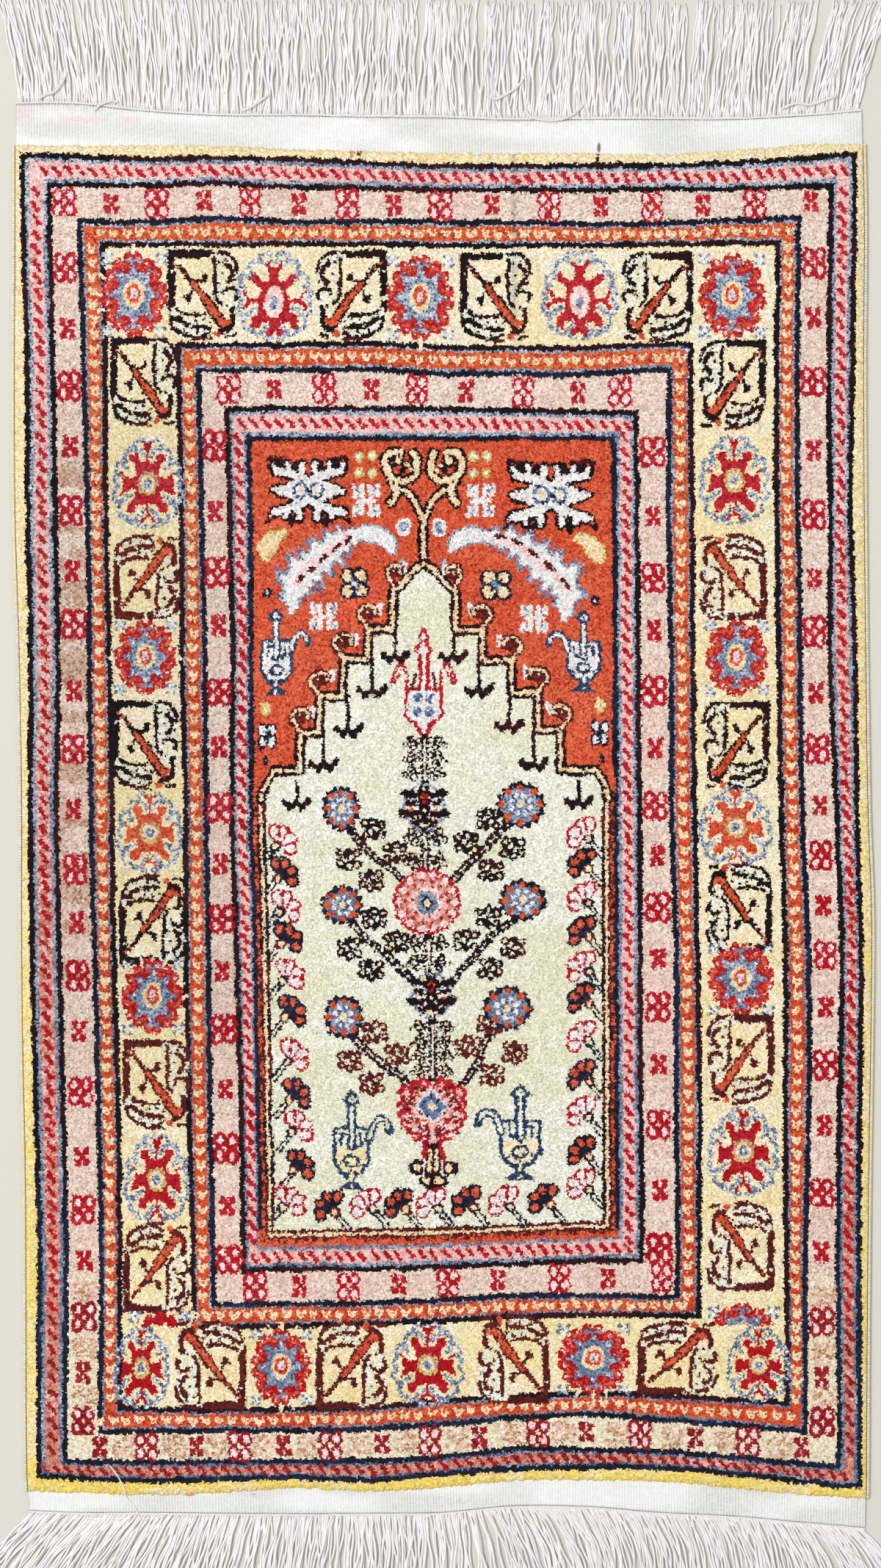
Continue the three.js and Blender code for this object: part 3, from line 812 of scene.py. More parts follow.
def lay_field(loom):
    """The frame's stripes, the niche's ground and the spandrels' corners over the frame."""
    x, y = chart_places()
    inside = within_line(8, x, y)
    for yarn, start in FRAME_STRIPES:
        loom.chart[(inside > start) & (y > ARCH_FOOT)] = YARN[yarn]
    dark_flecks = (scatter(x / 3.5, y / 3.5, 25) < 0.42) & (inside > FRAME_STRIPES[0][1]) & (y > ARCH_FOOT)
    loom.chart[dark_flecks & (inside < FRAME_STRIPES[1][1])] = YARN["m"]
    browned = (y > BROWN_FRAME_FROM) | (drift(x, y, 30, 30, 30) > 0.55)
    browned = browned & (inside > FRAME_STRIPES[1][1]) & (inside < FRAME_STRIPES[-1][1]) & (y > ARCH_FOOT)
    loom.chart[browned & (loom.chart == YARN["k"])] = YARN["m"]
    loom.shape("i", *LEFT_ARCH[:-1], *reversed(RIGHT_ARCH[:-1]))
    loom.shape("s", (345, 1060), (372, 1050), (360, 1068), (348, 1084))
    loom.shape("s", (840, 1060), (814, 1050), (826, 1066), (838, 1080))


def lay_arch(loom):
    for path in (LEFT_ARCH, RIGHT_ARCH):
        loom.line("k", 14, *path)
    for x, y, way in HOOKS:
        hook(loom.at(x, y, way))
    for path in (LEFT_ARCH, RIGHT_ARCH):
        loom.line("y", 5, *path)
        loom.dots("m", 3.4, *bend(path, 3)[1::5])
    for x, top, foot in PENDANTS:
        pendant(loom.at(x, foot), top - foot)


def hook(loom):
    """The curl at a step's corner, with a white bar beside it."""
    curl = ((0, 0), (5, -9), (12, -18), (9, -28), (0, -32), (-9, -29), (-10, -22), (-4, -19))
    loom.curve("m", 11, *curl)
    loom.disc("m", 1, -22, 9, 9)
    loom.curve("y", 4.2, *curl[:7])
    loom.dots("k", 3.4, (10, -22), (4, -31), (-8, -27), (3, -8))
    loom.dots("r", 3.6, (-1, -20), (3, -16))
    loom.dots("y", 3.4, (1, -24))
    loom.line("w", 4.4, (-19, -34), (-17, -21))
    loom.line("w", 3.6, (-17, -35), (-13, -31))


def pendant(loom, top):
    """A dark bar with a clawed foot."""
    loom.line("k", 5.8, (0, top), (0, -2))
    loom.shape("k", (-21, -7), (-14, -6), (-9, 0), (-4, -3), (0, -7), (5, 0), (10, -4), (15, -9), (21, -9),
               (21, -1), (15, 4), (10, 10), (5, 12), (2, 6), (-3, 4), (-6, 11), (-11, 11), (-14, 5),
               (-20, 2))
    loom.dots("w", 3, (-9, -4), (9, -7))
    loom.dots("m", 3, (-14, -1), (12, 2), (0, 1))


# What fills the spandrels


def spandrel_star(loom):
    """A white star of toothed bars round two blue lozenges, edged in brown."""
    pair = loom.mirrored()
    bars = (
        (((0, -10), (15, -20), (42, -25)), 11), (((0, 10), (15, 21), (44, 29)), 11),
        (((9, -20), (8, -36)), 7), (((26, -22), (28, -37)), 6.5), (((42, -25), (48, -34)), 5.5),
        (((13, 22), (12, 37)), 7.5), (((29, 25), (31, 36)), 6.5), (((44, 29), (50, 32)), 5),
    )
    for path, width in bars:
        pair.line("k", width + 9, *path)
    pair.shape("k", (0, -22), (24, -17), (54, -3), (54, 4), (24, 19), (0, 22))
    pair.line("k", 8, (36, -38), (52, -42))
    pair.line("k", 9, (16, -38), (22, -34))
    pair.line("k", 8, (20, 40), (24, 46))
    pair.line("k", 7, (48, 34), (56, 42))
    pair.dots("s", 4, (47, -40), (22, -38), (52, 36))
    pair.shape("s", (-4, -36), (4, -36), (3, -26), (0, -20))
    pair.shape("s", (-3, 38), (4, 38), (3, 30), (0, 24))
    pair.line("s", 5, (32, -13), (44, -15))
    pair.line("s", 5, (31, 15), (44, 18))
    pair.line("m", 4, (34, -43), (50, -46))
    for path, width in bars:
        pair.line("w", width, *path)
    pair.shape("w", (0, -18), (18, -14), (34, -7), (50, -2), (50, 2), (34, 8), (18, 15), (0, 18))
    pair.line("k", 3.6, (30, -16), (42, -19))
    pair.line("k", 3.6, (28, 17), (44, 22))
    pair.dots("t", 2.6, (42, -1), (36, 5), (12, -18), (24, 22))
    pair.dots("k", 3.2, (18, -28), (36, -32), (20, 32), (38, 34), (52, -28))
    for dx in (-11, 11):
        loom.ring("u", 4, dx, 0, 8.4, 10.5)
        loom.disc("y", dx, 0, 4.4, 5.6)
        loom.dots("n", 4, (dx - 5, -9), (dx + 6, 9), (dx - 9, 3), (dx + 2, 11))
        loom.dots("w", 3, (dx + 3, -8), (dx, 2))
    loom.dots("n", 5, (1, 0))


def snowflake(loom):
    """Four notched white blocks with blue hearts, tied by a white cross."""
    for dx, dy in corners(10, 13):
        block = loom.at(dx, dy, math.copysign(1, dx), math.copysign(1, dy))
        block.shape("w", (-7, -8), (-2, -8), (0, -3), (4, -8), (9, -8), (9, 9), (4, 9), (2, 5), (-3, 9),
                    (-8, 9))
        block.dots("b", 4, (0, 0), (4, 3))
        block.dots("u", 2.6, (1, -1), (3, 5))
    loom.line("w", 4, (-8, -6), (8, 6))
    loom.line("w", 4, (8, -6), (-8, 6))
    loom.line("w", 5, (-12, 0), (12, 0))


def ring_dots(loom):
    for dx, dy in corners(9, 11):
        loom.nest(dx, dy, ("l", 6.4, 7.4), ("w", 3.2, 3.6))


def horned_palmette(loom):
    """A pair of ram's-horn scrolls on a stalk."""
    pair = loom.mirrored()
    scrolls = (
        (8.5, ((44, 67), (36, 52), (41, 38), (50, 24), (52, 10), (45, -1), (33, 1), (34, 10))),
        (8, ((35, 36), (22, 37), (11, 27), (10, 10), (14, -1))),
        (6, ((2, 88), (8, 74), (16, 60), (28, 50))),
    )
    for width, path in scrolls:
        pair.curve("k", width + 8, *path)
    pair.line("k", 8, (22, 14), (30, 24))
    pair.line("k", 6, (36, 10), (40, 18))
    loom.line("k", 14, (0, 88), (0, 150))
    for width, path in scrolls:
        pair.curve("y", width, *path)
    pair.dots("y", 5.4, (23, 16), (18, 22))
    pair.dots("k", 4, (47, 8), (40, 40), (42, 60), (14, 26), (34, 4), (30, 34))
    pair.dots("w", 4, (50, 16), (40, 48), (12, 16))
    loom.line("y", 5, (0, 84), (0, 150))
    loom.line("t", 1.8, (0, 96), (0, 150))


def toothed_leaf(loom, spine, widths):
    """A leaf along a bent spine, its edge cut into teeth, with a broken brown vein."""
    line, across, wide = leaf_spine(spine, widths, 10)
    tooth = np.where(np.arange(len(line)) % 5 < 2, 1.12, 0.68)[:, None]
    for yarn, size in (("b", 1.12), ("w", 0.8)):
        left = line + across * (wide * tooth * size)
        right = line - across * (wide * np.roll(tooth, 2) * size)
        loom.shape(yarn, *left, *right[::-1])
    for number in range(2, len(line) - 3, 3):
        out = across[number] * wide[number]
        loom.line("u", 2.6, line[number] + out * 0.86, line[number] + out * 1.2)
        loom.line("u", 2.6, line[number] - out * 0.86, line[number] - out * 1.2)
    loom.line("q", 13, *line[4:-10])
    for start in range(3, len(line) - 10, 6):
        loom.line("m", 5.4, *line[start:start + 4] + across[start:start + 4] * 3 * (-1) ** start)
        loom.dots("k", 3.4, line[start + 1])
    loom.dots("w", 5, *(line + across * wide * 0.45)[2::5])


def crescent(loom, yarn, edge, widths, *spine):
    """A bent leaf that narrows to both ends."""
    line, across, wide = leaf_spine(spine, widths, 4)
    loom.shape(edge, *line + across * (wide + 3), *(line - across * (wide + 3))[::-1])
    loom.shape(yarn, *line + across * wide, *(line - across * wide)[::-1])


def four_petals(loom, petal, centre):
    for dx, dy in corners(9, 10):
        loom.disc("n", dx, dy, 11, 12)
    for dx, dy in corners(9, 10):
        loom.disc(petal, dx, dy, 7, 8)
    loom.line("u", 3.4, (-5, -8), (4, 9))
    loom.line("n", 3.4, (5, -7), (-5, 8))
    loom.disc(centre, 0, 0, 4.4, 4)


def ewer(loom, fill, upper):
    """A tall-necked jug in outline, its spout to the right, standing on a small foot."""
    loom.shape("x", (-25, -31), (25, -31), (26, 22), (14, 40), (5, 46), (-5, 46), (-15, 40), (-26, 22))
    loom.shape(upper, (-20.5, -26.5), (20.5, -26.5), (21, 4), (-21, 4))
    loom.shape(fill, (-21, 3), (21, 3), (21, 20), (11, 36), (-11, 36), (-21, 20))
    loom.line("x", 14, (0, -68), (0, -2))
    loom.line(upper, 5.6, (0, -68), (0, -2))
    loom.shape("x", (-13, -68), (-6, -78), (0, -84), (6, -78), (13, -68), (7, -60), (-7, -60))
    loom.shape(upper, (-7, -69), (0, -77), (7, -69), (0, -63))
    loom.dots("x", 4, (0, -70))
    loom.line("x", 4.4, (-14, -2), (-14, -20), (-7, -20))
    loom.line("x", 4.4, (13, -20), (13, -2), (8, -2))
    loom.ring("x", 4.4, 0, 20, 9.4, 8.4)
    loom.dots("x", 4.4, (-4, 22), (-14, 24), (14, 26), (0, 34))
    spout = ((23, -12), (28, -28), (36, -40), (46, -38), (52, -24))
    loom.curve("x", 11.4, *spout)
    loom.curve(upper, 4.4, *spout[:4], (50, -28))
    loom.line("x", 12, (0, 42), (0, 52))
    loom.line(fill, 4.4, (0, 38), (0, 54))
    loom.shape("x", (-8, 50), (8, 50), (18, 62), (-18, 62))
    loom.dots(fill, 4.4, (0, 57))


def fill_spandrels(loom):
    spandrel_star(loom.at(420, 668))
    spandrel_star(loom.at(750, 674, 1.1, 1.04))
    for x in (498, 654):
        ring_dots(loom.at(x, 633))
        snowflake(loom.at(x + 1, 682))
    for x, y in ((442, 839), (728, 843)):
        snowflake(loom.at(x, y, high=0.86))
    horned_palmette(loom.at(577, 617))
    for x in (550, 598):
        loom.nest(x, 718, ("w", 10, 13), ("b", 6, 8.5))
        loom.dots("u", 3, (x - 2, 714), (x + 2, 722))
    for x in (548, 604):
        loom.disc("b", x, 768, 4.4, 6)
        loom.dots("u", 2.6, (x, 768))
    crescent(loom, "w", "b", (5, 10, 10, 8, 2), (484, 728), (500, 727), (516, 730), (530, 739), (537, 754))
    crescent(loom, "w", "b", (5, 9, 10, 9, 3), (666, 730), (650, 729), (636, 730), (622, 736), (615, 752))
    toothed_leaf(loom, ((486, 726), (458, 742), (428, 768), (404, 792), (396, 838)), (10, 22, 26, 27, 3))
    toothed_leaf(loom, ((664, 730), (702, 740), (738, 766), (770, 800), (768, 847)), (10, 19, 26, 27, 3))
    crescent(loom, "y", "l", (2, 8, 10, 2), (391, 724), (372, 733), (363, 748), (362, 764))
    crescent(loom, "y", "l", (2, 8, 10, 3), (782, 730), (799, 737), (813, 752), (816, 768))
    four_petals(loom.at(483, 794), "y", "w")
    four_petals(loom.at(676, 797, 1.12), "y", "b")
    for x, y in ((364, 806), (811, 818)):
        loom.disc("n", x, y, 7, 7.4)
        loom.dots("w", 5, (x, y))
    ewer(loom.at(376, 896, 0.86, 0.82), "w", "w")
    ewer(loom.at(795, 895, -0.92, 0.76), "w", "w")
    for x, y in ((362, 965), (817, 960)):
        loom.nest(x, y, ("l", 8, 10), ("y", 5.4, 6.4))
    for x, y in ((364, 1002), (817, 998)):
        four_petals(loom.at(x, y, 0.66, 0.84), "w", "n")
    for x, y in ((362, 1036), (820, 1034)):
        loom.disc("n", x, y, 3.6, 7)
        loom.dots("b", 2.6, (x, y))


# What stands in the niche


def carnation(loom, petal, edge, cup, stem, full):
    """A side-on flower leaning up to the left, its stem down to the right."""
    lobes = ((7, -16, 7.5, 9.5), (-6, -15, 7, 9), (-15, -6, 9, 7.5), (-15, 8, 9, 8))
    loom.shape(edge, (6, 2), (13, -15), (4, -23), (-8, -23), (-20, -11), (-22, 8), (-13, 13), (-4, 6))
    for dx, dy, across, down in lobes:
        loom.disc(edge, dx, dy, across + 1.1, down + 1.1)
    for dx, dy, across, down in lobes:
        loom.disc(petal, dx, dy, (across - 2) * full, (down - 2.2) * full)
    if full == 1.0:
        rays = (((4, -6), (7, -13)), ((-2, -5), (-6, -12)), ((-6, 0), (-12, -4)), ((-6, 5), (-13, 8)))
        for foot, tip in rays:
            loom.line(petal, 4.6, foot, tip)
        loom.dots("q", 4, (7, -16), (-6, -15), (-15, -6), (-15, 8))
    loom.dots(edge, 3.6, (0, -25), (-13, -17), (-23, 0), (13, -22), (-20, 14), (-9, -11))
    loom.nest(5, 4, (cup, 7.4, 7.6), ("y", 3.8, 4.2))
    for step in range(5):
        x = 10 + 3.2 * step
        loom.line(stem, 3, (x + 1.4, 8 + 4 * step), (x + 2.8, 10 + 4 * step))
        loom.line(stem, 3, (x - 2.8, 12 + 4 * step), (x - 1.4, 14 + 4 * step))


LEFT_FLOWERS = (1148, 1192, 1238, 1281, 1331, 1381, 1441, 1493, 1538, 1590)
RIGHT_FLOWERS = (1138, 1179, 1226, 1272, 1320, 1363, 1415, 1467, 1517, 1571, 1617)
NEAR_FLOWERS = (
    (390, 1640), (452, 1646), (503, 1643), (548, 1643), (592, 1642), (640, 1640), (690, 1640), (745, 1636),
)


CARNATIONS = (("w", "r", "n", "n", 1.0), ("s", "n", "m", "k", 0.86))  # the pale one and the red one


def lay_carnations(loom):
    rows = (
        [(380 + 0.055 * (y - 1144), y, -1, 1.02) for y in LEFT_FLOWERS],
        [(797, y, 1, 1) for y in RIGHT_FLOWERS],
        [(x, y, 1.04 if number else -1.04, 1) for number, (x, y) in enumerate(NEAR_FLOWERS)],
    )
    for row in rows:
        for turn, place in enumerate(row):
            carnation(loom.at(*place), *CARNATIONS[turn % 2])


ROUND_FLOWERS = (
    (465, 1101, 26, 31), (466, 1232, 28, 26), (468, 1385, 27, 30),
    (709, 1096, 33, 31), (712, 1226, 32, 28), (691, 1373, 33, 30),
)


def round_flower(loom, x, y, across, down):
    """A blue and white disc in a toothed navy ring, with eight orange dots and a yellow eye."""
    for turn in turns(16):
        loom.dots("n", 8, on_oval(turn, across - 2.5, down - 2.5, x, y))
    loom.nest(x, y, ("n", across - 1.5, down - 1.5), ("b", across - 6, down - 6))
    for turn in turns(8):
        loom.disc("o", *on_oval(turn, across - 7.5, down - 7.5, x, y), 4.8, 4.6)
        loom.dots("w", 7, on_oval(turn + 0.3, 0.42 * across, 0.42 * down, x, y))
        for reach in (0.3, 0.5):
            loom.dots("u", 4, on_oval(turn, reach * across, reach * down, x, y))
        loom.dots("u", 3.4, on_oval(turn + 0.4, across - 9, down - 9, x, y))
    loom.disc("y", x, y, 5, 5.4)


BRANCHES = (  # from the trunk out to its flower
    ((556, 1208), (541, 1190), (522, 1176), (500, 1158), (478, 1132)),
    ((567, 1340), (545, 1318), (523, 1298), (498, 1278), (480, 1258)),
    ((560, 1482), (545, 1464), (524, 1452), (504, 1434), (482, 1412)),
    ((614, 1204), (632, 1182), (652, 1162), (672, 1142), (696, 1120)),
    ((608, 1344), (632, 1318), (652, 1296), (672, 1272), (700, 1254)),
    ((624, 1484), (640, 1464), (654, 1440), (660, 1418), (676, 1400)),
)
BRANCH_LEAVES = (  # leaves of a left branch: place from its middle, and how each is turned
    (-14, -46, 0), (-46, -8, 180), (16, -14, 0), (-16, 22, 180),
)


def roped(loom, *points):
    """A branch: two dark strands with pale ladder steps between."""
    line = bend(points, 6)
    across = square_to(line)
    loom.line("k", 11.5, *line)
    loom.dots("w", 4.4, *line[1::2])
    loom.dots("y", 3, *(line + across * 1.2)[2::4])
    loom.dots("i", 3.2, *(line + across * 5.4)[1::4], *(line - across * 5.4)[3::4])


def paw_leaf(loom, yarn="k"):
    """A leaf of dark lobes round a pale middle, each with a pale heart."""
    for x, y, size in ((-11, -8, 7), (1, -11, 7), (12, -7, 6.6), (13, 6, 6), (2, 9, 5.6), (-10, 7, 6.6)):
        loom.disc(yarn, x, y, size, size)
    loom.line(yarn, 6, (-9, -4), (9, 4))
    loom.dots("y", 5, (-11, -8), (12, -7), (-10, 7))
    loom.dots("i", 5.6, (1, -10), (12, 6), (4, -1), (-4, 2))


def clump(loom):
    """A tuft of small dark leaves with pale hearts, to one side of the trunk."""
    for x, y, size in ((9, -5, 6), (19, -8, 6), (26, 1, 5), (15, 5, 6)):
        loom.disc("k", x, y, size, size)
    loom.dots("i", 5, (9, -6), (26, 2), (14, 6))
    loom.dots("y", 4.8, (19, -8))


def feathered(loom, x, top, bottom, sets):
    """A stretch of trunk between sets of leafy tufts."""
    for y in np.linspace(top + 12, bottom - 12, sets):
        for way in (-1, 1):
            clump(loom.at(x, y, way, (bottom - top) / sets / 26))
    loom.line("k", 12, (x, top + 3), (x, bottom - 3))
    loom.line("w", 3.4, (x, top + 8), (x, bottom - 4))
    for y in np.arange(top + 8, bottom - 6, 7):
        loom.dots("y", 3.8, (x, y))
        loom.dots("i", 3, (x - 5, y + 3), (x + 5, y))


def tulip_vase(loom):
    """A pale vase of buds drawn in red, blue blocks on its side."""
    pair = loom.mirrored()
    loom.shape("w", (-24, 38), (24, 38), (25, 70), (14, 80), (0, 102), (-14, 80), (-25, 70))
    loom.shape("w", (-8, -18), (0, -44), (8, -18), (4, 38), (-4, 38))
    pair.line("r", 4, (1, -45), (6, -34), (2, -28), (10, -18))
    pair.line("r", 4.4, (10, -20), (5, -10), (5, 36), (23, 36), (25, 72), (12, 84), (0, 104))
    pair.line("r", 6, (12, 80), (4, 96))
    pair.curve("r", 4, (24, 36), (23, 14), (32, 2), (40, 16), (43, 28))
    pair.curve("r", 3.4, (30, 8), (35, 18), (40, 28))
    pair.line("m", 5, (16, 34), (12, 16))
    pair.dots("w", 4, (36, 10), (30, 12))
    for dx, dy in ((-8, 48), (8, 48), (-8, 68), (8, 68)):
        loom.disc("u", dx, dy, 6, 7)
        loom.dots("w", 3.4, (dx - 2, dy - 4), (dx + 3, dy + 3))


def jewelled_node(loom, across, down):
    """A dark boss with orange and pale inlay in a light-blue ring."""
    loom.nest(0, 0, ("b", across, down), ("w", across - 4, down - 4))
    for dy, wide, thick in ((-16, 0.95, 10), (-4, 0.72, 8), (9, 1.0, 11), (20, 0.5, 9)):
        half = across * wide
        dy *= down / 31
        loom.line("k", thick * down / 31, (-half, dy - 2), (0, dy + 2), (half, dy - 2))
    loom.line("k", 15, (0, -down + 9), (0, down - 9))
    pair = loom.mirrored()
    pair.dots("y", 5, (12, -22), (19, 0), (13, 16), (4, 24))
    pair.dots("q", 4.4, (9, -4), (6, 12), (17, -10))
    pair.dots("o", 4.4, (4, -14), (16, 4))
    loom.dots("r", 5.4, (0, -6), (0, -16))
    loom.dots("y", 5, (0, -26), (0, 26), (0, 4))


def trunk_rosette(loom):
    """The round pink flower on the trunk: red scallops, a blue eye."""
    for turn in turns(14):
        loom.disc("r", *on_oval(turn, 39, 38), 8, 8)
    loom.disc("a", 0, 0, 39, 38)
    loom.ring("q", 4.6, 0, 0, 19, 18)
    for number, turn in enumerate(turns(14)):
        loom.disc("q", *on_oval(turn, 38, 37), 5.4, 5.4)
        loom.dots("r", 5.4, on_oval(turn, 30, 29), on_oval(turn + 0.2, 44, 43))
        loom.dots("p", 8, on_oval(turn + 0.2, 24, 23))
        if number % 2:
            loom.dots("r", 4.4, on_oval(turn + 0.12, 21, 20), on_oval(turn + 0.12, 35, 34))
    loom.disc("b", 0, 1, 15, 16)
    loom.shape("n", (0, -11), (10, 1), (0, 13), (-10, 1))
    loom.disc("y", 0, 1, 4.4, 5)
    loom.dots("m", 3, (3, 4))


def heart_palmette(loom):
    """The broad pink palmette at the tree's foot."""
    outline = (
        (0, -33), (7, -43), (14, -47), (20, -41), (28, -43), (30, -34), (42, -33), (49, -25), (44, -16),
        (50, -8), (44, 0), (50, 8), (44, 14), (45, 23), (37, 24), (36, 33), (28, 33), (26, 41), (17, 42),
        (14, 50), (5, 51), (0, 58),
    )
    both = [*outline, *[(-x, y) for x, y in outline[::-1]]]
    loom.shape("r", *both)
    loom.at(0, 1, 0.88, 0.86).shape("p", *both)
    pair = loom.mirrored()
    for row in range(-34, 50, 4):
        reach = 46 - 0.5 * max(0, row) - 0.3 * max(0, -row)
        for step in range(4):
            start = 3 + (reach - 8) * (step + scatter(row, step, 61)) / 4
            yarn = "rdmrqo"[int(6 * scatter(row, step, 62))]
            pair.line(yarn, 3.4, (start, row), (start + 5, row - 2))
    pair.dots("r", 7, (38, 2), (30, -26), (33, 16), (20, 30), (12, 42), (40, -18), (22, -36))
    loom.shape("w", (0, -29), (24, -6), (0, 19), (-24, -6))
    loom.shape("u", (0, -25), (20, -6), (0, 15), (-20, -6))
    loom.shape("b", (0, -14), (10, -6), (0, 5), (-10, -6))
    loom.dots("n", 4, (-13, -8), (11, 2), (-6, 8), (9, -14), (0, -19))
    loom.disc("y", 0, -5, 4.6, 5.4)


def tree_roots(loom):
    """Two pale roots between dark strands, curled out at the ground."""
    pair = loom.mirrored()
    pair.curve("k", 15, (4, 0), (4, 26), (3, 50))
    pair.line("r", 7, (10, -2), (14, 16))
    pair.nest(22, 27, ("k", 12, 11), ("y", 5.4, 5.4))
    pair.disc("k", 9, 45, 12, 8.5)
    pair.disc("y", 8.5, 44, 6, 4.6)
    pair.line("y", 3.6, (4.5, 4), (4.5, 32))
    loom.line("k", 3, (0, 0), (0, 50))
    pair.line("w", 3, (12, 18), (12, 32))


def lay_tree(loom):
    for number, branch in enumerate(BRANCHES):
        roped(loom, *branch)
        middle = branch[2]
        way = 1 if number < 3 else -1
        for dx, dy, turned in BRANCH_LEAVES:
            place = loom.at(middle[0] + way * dx, middle[1] + dy, way, turned=turned)
            paw_leaf(place, "km"[number % 3 == 2])
    tulip_vase(loom.at(577, 902))
    feathered(loom, 578, 1001, 1066, 3)
    feathered(loom, 580, 1130, 1186, 2)
    feathered(loom, 583, 1274, 1324, 2)
    feathered(loom, 589, 1388, 1472, 4)
    jewelled_node(loom.at(578, 1099), 29, 34)
    trunk_rosette(loom.at(582, 1228))
    jewelled_node(loom.at(588, 1355), 28, 32)
    heart_palmette(loom.at(589, 1512))
    tree_roots(loom.at(590, 1563))
    for flower in ROUND_FLOWERS:
        round_flower(loom, *flower)


def fill_niche(loom):
    lay_tree(loom)
    lay_carnations(loom)
    ewer(loom.at(479, 1562, high=0.93), "c", "i")
    ewer(loom.at(709, 1551, -1.12, 0.9), "c", "i")


STRAY_TUFTS = (  # dark tufts that stray over the far rim: yarn, width and places
    ("m", 4, ((811, 224), (817, 203))),
    ("t", 6, ((478, 208), (480, 212))),
    ("m", 3.4, ((488, 211), (492, 206))),
)


def woven_chart():
    """The whole pattern, a yarn's number for each quarter-knot."""
    chart = np.full((CHART_SIZE[1], CHART_SIZE[0]), YARN["g"], np.uint8)
    lay_bands(chart)
    loom = Loom(chart)
    for running in RUNNING_MARKS:
        run_marks(loom, *running)
    lay_flowers(loom)
    lay_main_border(loom)
    for yarn, size, places in STRAY_TUFTS:
        loom.line(yarn, size, *places)
    lay_field(loom)
    fill_spandrels(loom)
    lay_arch(loom)
    fill_niche(loom)
    return chart


# Dyeing, with painted highlights and painted shade: what colour a place on the pile has


def ragged(x, y):
    """Places moved a little, so that a colour's edge runs as tufts do and not as a line does."""
    knot_x, knot_y = x / KNOT_ACROSS, y / KNOT_DOWN
    x = x + 2.4 * (scatter(knot_x, knot_y, 31) - 0.5) + 1.2 * (scatter(x / 1.7, y / 2.3, 32) - 0.5)
    x = x + 2.4 * (drift(x, y, 17, 13, 35) - 0.5)
    y = y + 2.8 * (scatter(knot_x, knot_y, 33) - 0.5) + 1.6 * (scatter(x / 1.9, y / 9, 34) - 0.5)
    y = y + 2.4 * (drift(x, y, 13, 17, 36) - 0.5)
    return x, y


def yarn_tones(colours):
    """Each yarn's three tones, all moved along with the main colour that is chosen for it."""
    tones = np.array([tone[1:4] for tone in YARN_TONES.values()])
    chosen = np.array([getattr(colours, as_property(tone[0])) for tone in YARN_TONES.values()])
    return np.clip(tones + (chosen - tones[:, 0])[:, None], 0, 1)


def left_border_darker(x, y):
    """The left border a little darker halfway down."""
    inside = ramp(x, 40, 52) * ramp(x, 340, 320)
    return 1 - 0.055 * inside * ramp(y, 440, 600) * ramp(y, 1600, 1400)


def crease_shade(x, y):
    """Lighter on the fold's left flank, darker on its right."""
    fold = CHART_MIDDLE + 2 * CREASE["across"]
    lit = 0.09 * np.exp(-(((x - fold + 5) / 3.4) ** 2))
    dark = 0.16 * np.exp(-(((x - fold - 3) / 4) ** 2))
    return 1 + ramp(y, *CREASE_SHADED) * (lit - dark)


NEARNESS = (300, 1800)  # down the chart, from the far end's dyes to the near end's
NEAR_RIM = (1985, 2000)  # the last rows, which are dyed deepest


def dyed_and_shaded(chart, x, y, all_tones):
    """The pile's colours at places on the chart, with a painted sheen on its tufts and painted light and
    shade along the crease.
    """
    rx, ry = ragged(x, y)
    column = np.clip(np.rint(rx).astype(int), 0, CHART_SIZE[0] - 1)
    row = np.clip(np.rint(ry).astype(int), 0, CHART_SIZE[1] - 1)
    yarn = chart[row, column]
    tones = all_tones[yarn]
    ways = np.array([tone[4:] for tone in YARN_TONES.values()])[yarn]
    main, shade, drifted = tones[..., 0, :], tones[..., 1, :], tones[..., 2, :]
    streak = np.clip(2.6 * drift(x, y, 11, 2.4, 41) - 1.15, 0, 1)
    fleck = np.clip(3 * scatter(x / 2.1, y / 2.6, 46) - 2.0, 0, 1)
    patch = np.clip(1.3 * drift(x, y, 42, 24, 42) + 1.5 * drift(x, y, 190, 120, 47) - 1.1, 0, 1)
    near = ramp(y, *NEARNESS) * (1 + 0.9 * ramp(y, *NEAR_RIM))
    near = near * (0.1 + 1.8 * drift(x, y, 26, 14, 49))
    away = ways[..., 0] * np.maximum(streak, fleck) + ways[..., 1] * patch + ways[..., 2] * near
    dull = 0.5 * scatter(x / KNOT_ACROSS, y / KNOT_DOWN, 43) ** 4
    dull = dull + 1.3 * scatter(x / 1.6, y / 1.9, 44) ** 5
    # Painted highlight: random tufts lightened towards white, the more so on light yarns, for the silk's
    # sheen.
    painted_gleam = 0.34 * np.clip(2.4 * scatter(x / 2.3, y / 1.8, 48) - 1.4, 0, 1)
    colour = toward(main, drifted, np.clip(away, -0.45, 1))
    colour = toward(colour, shade, np.clip(dull, 0, 1))
    bright = colour.mean(-1, keepdims=True)
    colour = colour + (1 - colour) * bright * painted_gleam[..., None]
    # A random darkening of tufts, with the crease's painted light and painted shade and the left border's
    # darkening multiplied in.
    grain_and_shade = (1.02 - 0.13 * scatter(x / 2, y / 2, 45) ** 2) * crease_shade(x, y) * left_border_darker(x, y)
    return np.clip(colour * grain_and_shade[..., None], 0, 1)


# Meshes


def add_object(name, data):
    made = bpy.data.objects.new(name, data)
    bpy.context.scene.collection.objects.link(made)
    return made


